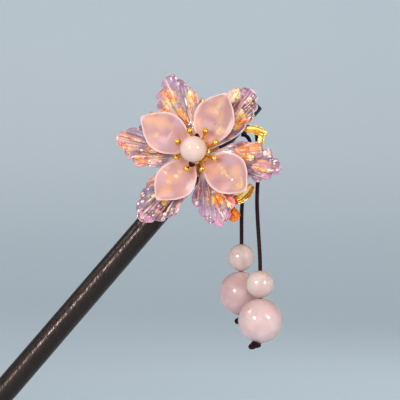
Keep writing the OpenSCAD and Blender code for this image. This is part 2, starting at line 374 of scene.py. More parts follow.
# Each strand has its own sheen, and fine fibres lie along it.
dark_braid, tree, shader, at = new_finish("dark_silk_braid")
strand = add(tree, "UVMap", {}, uv_map="strand").outputs["UV"]
fibre = clouds(tree, strand, 2.4, 5, 0.65, stretch=(18, 2.2, 1))
shade = ramp(tree, fibre, [(0.3, "#14060A"), (0.5, "#2A0C14"), (0.72, "#4E1A22")])
dress(tree, shader, {
    "Base Color": blend(tree, times(tree, clouds(tree, at, 260, 3), 0.5), shade, "#180A0E"),
    "Roughness": fade(tree, fibre, 0.3, 0.7, 0.62, 0.42),
    "Normal": relief(tree, fibre, 0.00006, 0.8),
    "Specular IOR Level": 0.12,
})

left_cord, left_path, left_length = braid("left_cord", left_route, cord_d)
right_cord, right_path, right_length = braid("right_cord", right_route, cord_d)
left_knot = tight_knot("left_end_knot", (64.75, 4.7, 15.45), (1.3, 0.55, -0.95), 8)
right_knot = tight_knot("right_end_knot", (68.5, -6.7, 9.35), (1.5, 0.6, -0.8), -12)
for piece, node in (
    (left_cord, "tassel_cord_left"), (right_cord, "tassel_cord_right"),
    (left_knot, "knot_left"), (right_knot, "knot_right"),
):
    piece.data.materials.append(dark_braid)
    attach(piece, "root")
    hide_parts(node)


# The hanging beads: rose quartz ground round, drilled and polished, milky with faint clouds.
# The drill leaves a narrow softened edge at each mouth of the bore.
small_bead_d, large_bead_d, bead_bore, bore_lip = 8, 12.9, 1.5, 0.12


def drilled_bead(name, d, bore):
    """A ball with its poles cut off, the bore bridged through, and its mouths bevelled."""
    bpy.ops.object.select_all(action="DESELECT")
    bpy.ops.mesh.primitive_uv_sphere_add(segments=72, ring_count=48, radius=d / 2 * MM)
    bead = bpy.context.object
    bead.name = bead.data.name = name
    cut = math.sqrt(d * d - bore * bore) / 2 * MM
    for way in (1, -1):
        into_mesh()
        bpy.ops.mesh.bisect(plane_co=(0, 0, way * cut), plane_no=(0, 0, way), clear_outer=True)
    bpy.ops.mesh.select_all(action="DESELECT")
    bpy.ops.mesh.select_mode(type="EDGE")
    bpy.ops.mesh.select_non_manifold()
    bpy.ops.mesh.bridge_edge_loops()
    bpy.ops.mesh.select_all(action="DESELECT")
    bpy.ops.mesh.edges_select_sharp(sharpness=math.radians(40))
    bpy.ops.mesh.bevel(offset=bore_lip * MM, segments=3)
    bpy.ops.mesh.select_mode(type="VERT")
    out_of_mesh()
    bpy.ops.object.shade_smooth_by_angle(angle=math.radians(50))
    return bead


def set_in_place(piece, middle, axis=(0, 0, 1)):
    """Turns a piece's own height to an axis, moves it to its middle and applies both."""
    piece.rotation_euler = Vector(axis).to_track_quat("Z", "Y").to_euler()
    piece.location = middle
    hold(piece)
    bpy.ops.object.transform_apply(location=True, rotation=True, scale=True)


def node_middle(node):
    """The middle of the box round a CAD node."""
    low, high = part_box(node)
    return (Vector(low) + Vector(high)) / 2


def quartz(name, deep, pale, vein):
    """Milky quartz whose clouds drift between three tones, with a soft waxy polish."""
    stone, tree, shader, at = new_finish(name)
    cloud = clouds(tree, at, 120, 4, 0.55, 0.6)
    haze = clouds(tree, at, 560, 3, 0.6)
    off_middle = figure(tree, "ABSOLUTE", figure(tree, "SUBTRACT", cloud, 0.5))
    body = ramp(tree, cloud, [(0.32, deep), (0.5, pale), (0.68, vein)])
    body = blend(tree, fade(tree, off_middle, 0.0, 0.012, 0.35, 0.0), body, vein)
    dress(tree, shader, {
        "Base Color": blend(tree, times(tree, haze, 0.2), body, vein),
        "Roughness": fade(tree, haze, 0.35, 0.7, 0.16, 0.26),
        "Subsurface Weight": 0.8,
        "Subsurface Radius": (1.0, 0.62, 0.55),
        "Subsurface Scale": 0.006,
        "Coat Weight": 0.8,
        "Coat Roughness": 0.1,
        "Normal": relief(tree, haze, 0.00002, 0.25),
    })
    return stone


rose_quartz = quartz("rose_quartz", "#C5A5A3", "#CFB1AF", "#DDC5C1")
pale_quartz = quartz("pale_rose_quartz", "#C0A49E", "#C9B1AA", "#D6C4BC")
deep_quartz = quartz("deep_rose_quartz", "#BC9898", "#C8A6A5", "#D8BCB9")
for name, node, d, stone in (
    ("left_small_bead", "small_bead_left", small_bead_d, pale_quartz),
    ("left_large_bead", "large_bead_left", large_bead_d, deep_quartz),
    ("right_small_bead", "small_bead_right", small_bead_d, pale_quartz),
    ("right_large_bead", "large_bead_right", large_bead_d, rose_quartz),
):
    bead = drilled_bead(name, d, bead_bore)
    set_in_place(bead, node_middle(node))
    bead.data.materials.append(stone)
    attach(bead, "root")
    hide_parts(node)


# The stick: one length of dense black-brown wood, turned to a long taper and rubbed smooth.
# Its head is cut square with the edge just broken, and its point is rounded.
stick_tilt = math.radians(49.3)
stick_axis = Vector((math.cos(stick_tilt), 0, math.sin(stick_tilt)))
head_r, belly_r, point_r = 3.35, 3.55, 1.7
head_z, belly_z, tip_z = 105, -5, -75
point_rings = [(0.04, 0), (0.33, 0.12), (0.6, 0.45), (0.8, 1.0), (0.93, 1.7), (1, 2.6)]
head_edge = [(0, 0.4), (0.09, 0.12), (0.3, 0.03), (0.6, 0)]


def turned(name, profile, sides=96):
    """A piece turned on a lathe: rings of (radius, height) in millimetres, closed at both ends."""
    bpy.ops.object.select_all(action="DESELECT")
    r, z = profile[0]
    bpy.ops.mesh.primitive_circle_add(vertices=sides, radius=r * MM, location=(0, 0, z * MM))
    piece = bpy.context.object
    piece.name = piece.data.name = name
    bpy.ops.object.transform_apply(location=True)
    into_mesh()
    bpy.ops.mesh.edge_face_add()
    for (r, z), (next_r, next_z) in zip(profile, profile[1:]):
        pull_up((next_z - z) * MM, next_r / r)
    out_of_mesh()
    bpy.ops.object.shade_smooth_by_angle(angle=math.radians(50))
    return piece


profile = [(point_r * share, tip_z + rise) for share, rise in point_rings]
shoulder_z = profile[-1][1]
for f in np.linspace(0, 1, 18)[1:]:
    r = point_r + (belly_r - point_r) * f**0.9
    profile.append((r, shoulder_z + (belly_z - shoulder_z) * f))
for f in np.linspace(0, 1, 26)[1:-1]:
    profile.append((belly_r + (head_r - belly_r) * f, belly_z + (head_z - belly_z) * f))
profile += [(head_r - inset, head_z - drop) for inset, drop in head_edge]
profile += [(1.6, head_z), (0.3, head_z)]
stick = turned("wood_stick", profile)
set_in_place(stick, (0, 0, 0), stick_axis)

dark_wood, tree, shader, at = new_finish("rubbed_dark_wood")
upright = (0, stick_tilt - math.pi / 2, 0)
bands = clouds(tree, at, 1, 6, 0.62, 0.3, stretch=(560, 560, 14), turn=upright)
pores = clouds(tree, at, 1, 4, 0.7, stretch=(2400, 2400, 90), turn=upright)
rubbed = clouds(tree, at, 1, 3, 0.5, stretch=(160, 160, 26), turn=upright)
grain_tones = [(0.3, "#040303"), (0.48, "#070404"), (0.6, "#0E0908"), (0.74, "#2C1C18")]
open_pore = fade(tree, pores, 0.36, 0.5)
dress(tree, shader, {
    "Base Color": blend(tree, open_pore, "#0A0707", ramp(tree, bands, grain_tones)),
    "Roughness": figure(tree, "ADD", fade(tree, pores, 0.35, 0.62, 0.2, 0.0),
                        fade(tree, rubbed, 0.3, 0.7, 0.2, 0.3)),
    "Specular IOR Level": 0.55,
    "Specular Tint": (1, 0.76, 0.68, 1),
    "Normal": relief(tree, open_pore, 0.00005, 0.6, relief(tree, bands, 0.00012, 0.5)),
})
stick.data.materials.append(dark_wood)
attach(stick, "root")
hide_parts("stick")

# The binding: three close turns of the same braid round the stick, which carry both tassels.
# The turns climb a little, and both ends are tucked under on the hidden side.
binding_count, binding_start, binding_pitch = 3.05, 2.2, 0.9215
binding_z = head_z - 8.72
binding_r = head_r + 0.12 + cord_d / 2
out_of_stick = Vector((0, 1, 0))
across_stick = out_of_stick.cross(stick_axis)
turns = []
for t in np.linspace(0, binding_count, 74):
    a = 2 * math.pi * t + binding_start
    place = stick_axis * (binding_z + binding_pitch * (t - 0.5))
    turns.append(place + binding_r * (math.cos(a) * across_stick + math.sin(a) * out_of_stick))
binding = braid("cord_binding", turns, cord_d)[0]
binding.data.materials.append(dark_braid)
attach(binding, "root")
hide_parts("cord_wrap")


# The gold-plated backing: a flower stamped from thin brass, with fanned ribs on each lobe and
# curled ears that show between the glass leaves. It is glued to the stick, over the pin.
flower_up_stick, flower_roll = 82.7, math.radians(72)
flower_foot = np.array(stick_axis * flower_up_stick)
flower_turn = spin(-stick_tilt, 1) @ spin(flower_roll, 0)
flower_axis = flower_turn @ (0, 0, 1)
hub_z, dish_r, dish_edge, gold_wall = 3.53, 95, 24, 0.55
gold_rib, gold_rim, gold_rim_width = 0.17, 0.2, 0.4
strip_rows, strip_columns = 56, 25


def on_flower(points):
    """Millimetres on the flower (x to the stick's head, z to the viewer) as places in metres."""
    return (np.asarray(points, float) @ flower_turn.T + flower_foot) * MM


def even(table, t):
    """A smooth reading of a table of (place, value) rows."""
    xs, ys = np.array(table, float).T
    dense = np.linspace(xs[0], xs[-1], 400)
    i = np.clip(np.searchsorted(xs, dense, side="right") - 1, 0, len(xs) - 2)
    f = (dense - xs[i]) / (xs[i + 1] - xs[i])
    before, after = ys[np.maximum(i - 1, 0)], ys[np.minimum(i + 2, len(xs) - 1)]
    return np.interp(t, dense, between(before, ys[i], ys[i + 1], after, f))


def round_end(share):
    """A quarter round: 0 at the very end, 1 once the share has run out."""
    return np.sqrt(np.maximum(0, 1 - (1 - np.clip(share, 0, 1)) ** 2))


def round_side(u, half, wall):
    """How full a section is across: 1 inside, and a half round as wide as the wall at each side."""
    edge = wall / np.maximum(half, wall)
    return np.sqrt(np.maximum(0, 1 - np.clip((np.abs(u) - 1) / edge + 1, 0, 1) ** 2))


def wrapped_sheet(name, rows, across, shape):
    """A thick petal or lobe as one closed skin: a grid wrapped round the piece's section.

    shape(s, u, side) gives places on the flower and the values kept for the finish, for arrays of
    the place along (0 to 1), the place across (-1 to 1) and the side (1 on top, -1 below). The
    grid is closest at the tip and the rim, and an end row narrower than point_width is one point.
    """
    rim_crowding, tip_crowding, point_width = 0.86, 0.55, 0.8
    k = np.linspace(-1, 1, across)
    u = k + rim_crowding * np.sin(math.pi * k) / math.pi
    ring_u = np.concatenate([u, u[::-1][1:]])
    ring_side = np.concatenate([np.ones(across), -np.ones(across - 1)])
    columns = len(ring_u)
    t = np.linspace(0, 1, rows)
    s = t + tip_crowding * np.sin(math.pi * t) * t / math.pi
    bpy.ops.object.select_all(action="DESELECT")
    bpy.ops.mesh.primitive_grid_add(x_subdivisions=columns - 1, y_subdivisions=rows - 1, size=2)
    piece = bpy.context.object
    piece.name = piece.data.name = name
    flat = np.zeros(len(piece.data.vertices) * 3)
    piece.data.vertices.foreach_get("co", flat)
    grid = (flat.reshape(-1, 3)[:, :2].T + 1) / 2 * [[columns - 1], [rows - 1]]
    column, row = np.rint(grid).astype(int)
    places, kept = shape(s[row], ring_u[column], ring_side[column])
    for at_end in (row == 0, row == rows - 1):
        if np.ptp(places[at_end][:, :2], axis=0).max() < point_width:
            places[at_end] = places[at_end].mean(axis=0)
    piece.data.vertices.foreach_set("co", on_flower(places).ravel())
    for key, values in kept.items():
        layer = piece.data.attributes.new(key, "FLOAT_VECTOR", "POINT")
        layer.data.foreach_set("vector", values.ravel())
    bpy.ops.object.mode_set(mode="EDIT")
    bpy.ops.mesh.select_all(action="DESELECT")
    bpy.ops.mesh.select_non_manifold()
    bpy.ops.mesh.remove_doubles(threshold=1e-7)
    bpy.ops.mesh.select_all(action="SELECT")
    bpy.ops.mesh.fill_holes(sides=0)
    bpy.ops.mesh.dissolve_degenerate(threshold=1e-7)
    out_of_mesh()
    bpy.ops.object.shade_smooth()
    return piece


def dish(radius):
    """How high the dished plate stands at a distance from the flower's middle."""
    return hub_z + dish_r - np.sqrt(dish_r**2 - np.minimum(radius, dish_edge) ** 2)


def gold_strip(name, spine, ribs, curls, lift=(0, 0)):
    """A ribbed gold strip on the dish, along a spine of (turn, radius, half width) rows.

    Its left and right sides curl up by curls, and it lifts off the dish between two heights.
    """
    angles, radii, widths = np.array(spine, float).T
    angles = np.radians(angles)
    rows = np.column_stack([radii * np.cos(angles), radii * np.sin(angles), widths])
    run = distance_along(rows[:, :2])
    run /= run[-1]

    def reading(k, s):
        return even(np.column_stack([run, rows[:, k]]), np.clip(s, 0, 1))

    def shape(s, u, side):
        x, y, w = (reading(k, s) for k in range(3))
        dx, dy = (reading(k, s + 0.01) - reading(k, s - 0.01) for k in range(2))
        size = np.hypot(dx, dy)
        close, grown = (1 - s) / 0.09, np.clip(s * 4, 0, 1)
        inward = 1 - np.abs(u)
        w = w * round_end(close) * round_end(s / 0.04 + 0.01)
        px, py = x - dy / size * w * u, y + dx / size * w * u
        flute = (np.abs(np.sin(math.pi * ribs * u / 2)) - 0.5) * grown * np.clip(inward * 5, 0, 1)
        raised = gold_rim * np.exp(-((inward * w / gold_rim_width) ** 2)) * grown
        curl = curls[0] * np.clip(u, 0, 1) ** 2 + curls[1] * np.clip(-u, 0, 1) ** 2
        curl = curl * np.clip(s * 2.2 - 0.2, 0, 1)
        half = gold_wall / 2
        soft = round_side(u, w, half) * np.sqrt(round_end(close))
        rise = lift[0] + (lift[1] - lift[0]) * s
        z = dish(np.hypot(px, py)) + half + gold_rib * flute + raised + curl + rise
        z = z + side * half * soft
        return np.column_stack([px, py, z]), {"lay": np.column_stack([s, u, 0.5 - flute])}

    return wrapped_sheet(name, strip_rows, strip_columns, shape)


lobes = [
    [(358, 4.6, 1.6), (358, 7, 2.5), (358, 9.5, 3.0), (358, 11.6, 2.4), (358, 12.7, 1)],
    [(60, 4.6, 1.8), (60, 7.5, 2.9), (58, 11, 4.2), (56, 14.2, 3.9), (56, 16.6, 2)],
    [(119, 4.6, 1.6), (119, 7.5, 2.6), (119, 11, 3.7), (119, 14, 3.2), (119, 16.1, 1.4)],
    [(180, 4.6, 1.6), (180, 7.5, 2.6), (180, 11, 3.5), (180, 13.6, 2.9), (180, 15.4, 1.3)],
    [(240, 4.6, 1.8), (240, 7.5, 2.9), (238, 12, 4.0), (236, 15.4, 3.2), (236, 17.5, 1.4)],
    [(299, 4.6, 1.8), (299, 7.5, 2.9), (300, 12, 4.5), (300, 15.5, 4.3), (300, 17.8, 2.4)],
]
# Each ear: its spine, how many ribs it has, its two curls and how far it lifts off the dish
ears = [
    ([(44, 12.5, 1.6), (39, 14.4, 1.5), (36, 16.6, 1.1)], 3, (0.3, 0.3), (0, 0)),
    ([(78, 9.5, 1.2), (86, 13.5, 1.4), (90, 17, 1.5), (91, 19.8, 1)], 3, (0.3, 0.3), (0, 0)),
    ([(243, 12, 2), (248, 17, 1.9), (251.2, 20.7, 1.9), (252.6, 23, 1.5)], 5, (0.7, 0.5), (0, 0.2)),
    ([(248, 12.5, 1.2), (255, 16.2, 1.3), (262, 18, 1.4), (270.5, 18.7, 1.45), (280, 18.5, 1.1)],
     3, (1.4, 0.2), (0, 0.3)),
    ([(308, 13, 2.2), (315, 16.4, 1.6), (320, 18.3, 1.1), (326.5, 19.2, 1.0)],
     3, (0.2, 0.5), (0, 0.5)),
    ([(325.3, 20.6, 0.6), (327.6, 19.5, 1.05), (331.6, 18, 1.35), (335.6, 16.3, 1.0),
      (338.6, 14.9, 0.75)], 3, (0.9, 0.2), (0.6, 0.6)),
]
gold_parts = [gold_strip(f"gold_lobe_{i}", lobe, 7, (0.25, 0.25)) for i, lobe in enumerate(lobes)]
gold_parts += [gold_strip(f"gold_ear_{i}", *ear) for i, ear in enumerate(ears)]
hub_sides, hub_back = 64, 0.28
hub = turned("gold_hub", [
    (1.4, -hub_back), (5.4, -hub_back), (5.9, -0.1), (6.0, 0.12), (5.8, 0.36), (5.3, 0.46),
    (4.9, 0.36), (4.6, 0.3), (2.4, 0.3), (2.1, 0.42), (1.4, 0.44),
], hub_sides)
bpy.ops.object.mode_set(mode="EDIT")
bpy.ops.mesh.select_all(action="DESELECT")
bpy.ops.mesh.select_mode(type="FACE")
bpy.ops.mesh.select_face_by_sides(number=hub_sides)
bpy.ops.mesh.bridge_edge_loops()
bpy.ops.mesh.select_mode(type="VERT")
bpy.ops.object.mode_set(mode="OBJECT")
set_in_place(hub, on_flower([0, 0, hub_z + hub_back]), flower_axis)
hold(gold_parts[0])
for part in gold_parts + [hub]:
    part.select_set(True)
bpy.ops.object.join()
gold_plate = bpy.context.object
gold_plate.name = gold_plate.data.name = "gold_backing_plate"
# One ear has a bright orange patch near its tip: its middle, and where it starts to fade and ends
orange_patch_middle, orange_patch_fades, orange_patch_ends = tuple(on_flower([-6.4, -20.5, 5.4])), 0.0026, 0.0036


def kept_on(tree, name):
    """The vector that a mesh keeps at each point under a name."""
    return add(tree, "Attribute", {}, attribute_name=name).outputs["Vector"]


def cells(tree, at, scale):
    """Small broken cells: how far the middle of each one is, and two chances of its own."""
    made = add(tree, "TexVoronoi", {"Vector": at, "Scale": scale}).outputs
    chance = add(tree, "SeparateColor", {"Color": made["Color"]}).outputs
    return made["Distance"], chance["Red"], chance["Green"]


def plated(name, deep, middle, bright, groove_tone, painted_dark_spots=0.0, gloss=0.2):
    """Gold plate over stamped brass: darker and redder in the grooves, with painted dark reflection
    spots where asked.
    """
    gold, tree, shader, at = new_finish(name)
    _, across, groove = split(tree, kept_on(tree, "lay"))
    stain = clouds(tree, at, 420, 5, 0.6)
    brushed = clouds(tree, at, 2400, 3, 0.6)
    # Painted dark spots: reflections of dark surroundings painted into the gold, as strong as
    # asked.
    spot_cells = cells(tree, at, 950)[0]
    tone = ramp(tree, stain, [(0.3, deep), (0.5, middle), (0.7, bright)])
    tone = blend(tree, fade(tree, spot_cells, 0.3, 0.2, 0.0, painted_dark_spots), tone, "#4E2004")
    away = vector(tree, "DISTANCE", at, orange_patch_middle)["Value"]
    here = times(tree, fade(tree, away, orange_patch_ends, orange_patch_fades),
                 fade(tree, figure(tree, "ABSOLUTE", across), 0.9, 0.7))
    orange = blend(tree, fade(tree, brushed, 0.42, 0.6), "#E86A18", "#FFAC50")
    tone = blend(tree, here, tone, orange)
    dress(tree, shader, {
        "Base Color": blend(tree, fade(tree, groove, 0.45, 0.95, 0.0, 0.8), tone, groove_tone),
        "Metallic": figure(tree, "SUBTRACT", 0.86, times(tree, here, 0.6)),
        "Roughness": fade(tree, brushed, 0.3, 0.7, gloss, gloss * 2),
        "Normal": relief(tree, brushed, 0.00003, 0.4, relief(tree, stain, 0.0001, 0.35)),
    })
    return gold


bright_gold = plated("polished_gold_plate", "#EFA83C", "#FFCB60", "#FFE9A4", "#B8601C")
gold_plate.data.materials.clear()
gold_plate.data.materials.append(bright_gold)
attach(gold_plate, "root")
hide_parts("gold_backing")

# The pin through the stack: a plain plated rod that carries the flower, set in a blind hole in
# the stick and hidden once the flower is built up. The CAD rod is right as it is.
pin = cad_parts["flower_post"]
pin.data.materials.clear()
pin.data.materials.append(bright_gold)


# The glass leaves: pressed clear glass, tinted lavender with a rose edge, fluted from the foot
# out to each scallop and parted by a midrib. Scraps of gold and orange foil are fused into each.
# Painted glints and shade lie on the glass too, with painted light along the flutes, midrib and rim
# and at the foot.
leaf_foot, leaf_foot_z, leaf_tip_z, leaf_wall = 1.5, 4.75, 8.1, 1.1
leaf_rises = [(0, 0), (0.2, 0.06), (0.4, 0.18), (0.6, 0.42), (0.8, 0.72), (1, 1)]
leaf_flute, leaf_fine_flute, leaf_rib, leaf_under_flute = 0.3, 0.07, 0.16, 0.08
leaf_roll, leaf_roll_in, leaf_roll_width = 0.16, 0.4, 0.28
leaf_rib_width, leaf_rib_groove, leaf_rib_groove_in, leaf_rib_groove_width = 0.36, 0.75, 0.7, 0.28
leaf_rows, leaf_columns = 150, 75
# Each tone of foil, tinted glass or painted light: its colour, and how much of the clear glass it
# hides
# The palest tone is a painted glint, the darkest painted shade; plum is partly tint, partly the
# dark stick painted in as seen through the glass
foil_tones = {
    "amber": ("#FA9838", 0.97), "ember": ("#EE7C30", 0.97), "gold": ("#F2BC4C", 0.97),
    "honey": ("#FCBE6C", 0.97), "cream": ("#FFE6B0", 0.97), "peach": ("#ECAA80", 0.88),
    "salmon": ("#E89064", 0.92), "coral": ("#F87454", 0.94), "shell": ("#F2C2B4", 0.85),
    "tan": ("#CCA47C", 0.8), "brown": ("#96583E", 0.75), "dark": ("#4A2C34", 0.8),
    "plum": ("#7C4C58", 0.75), "wine": ("#986480", 0.6), "violet": ("#A88CC4", 0.4),
    "lilac": ("#CCA8CC", 0.45), "rose": ("#E898C0", 0.65), "apricot": ("#F6A468", 0.6),
    "ice": ("#8480A8", 0.5), "mist": ("#C4BAB4", 0.6), "painted_glint": ("#FFF8F4", 0.96),
}
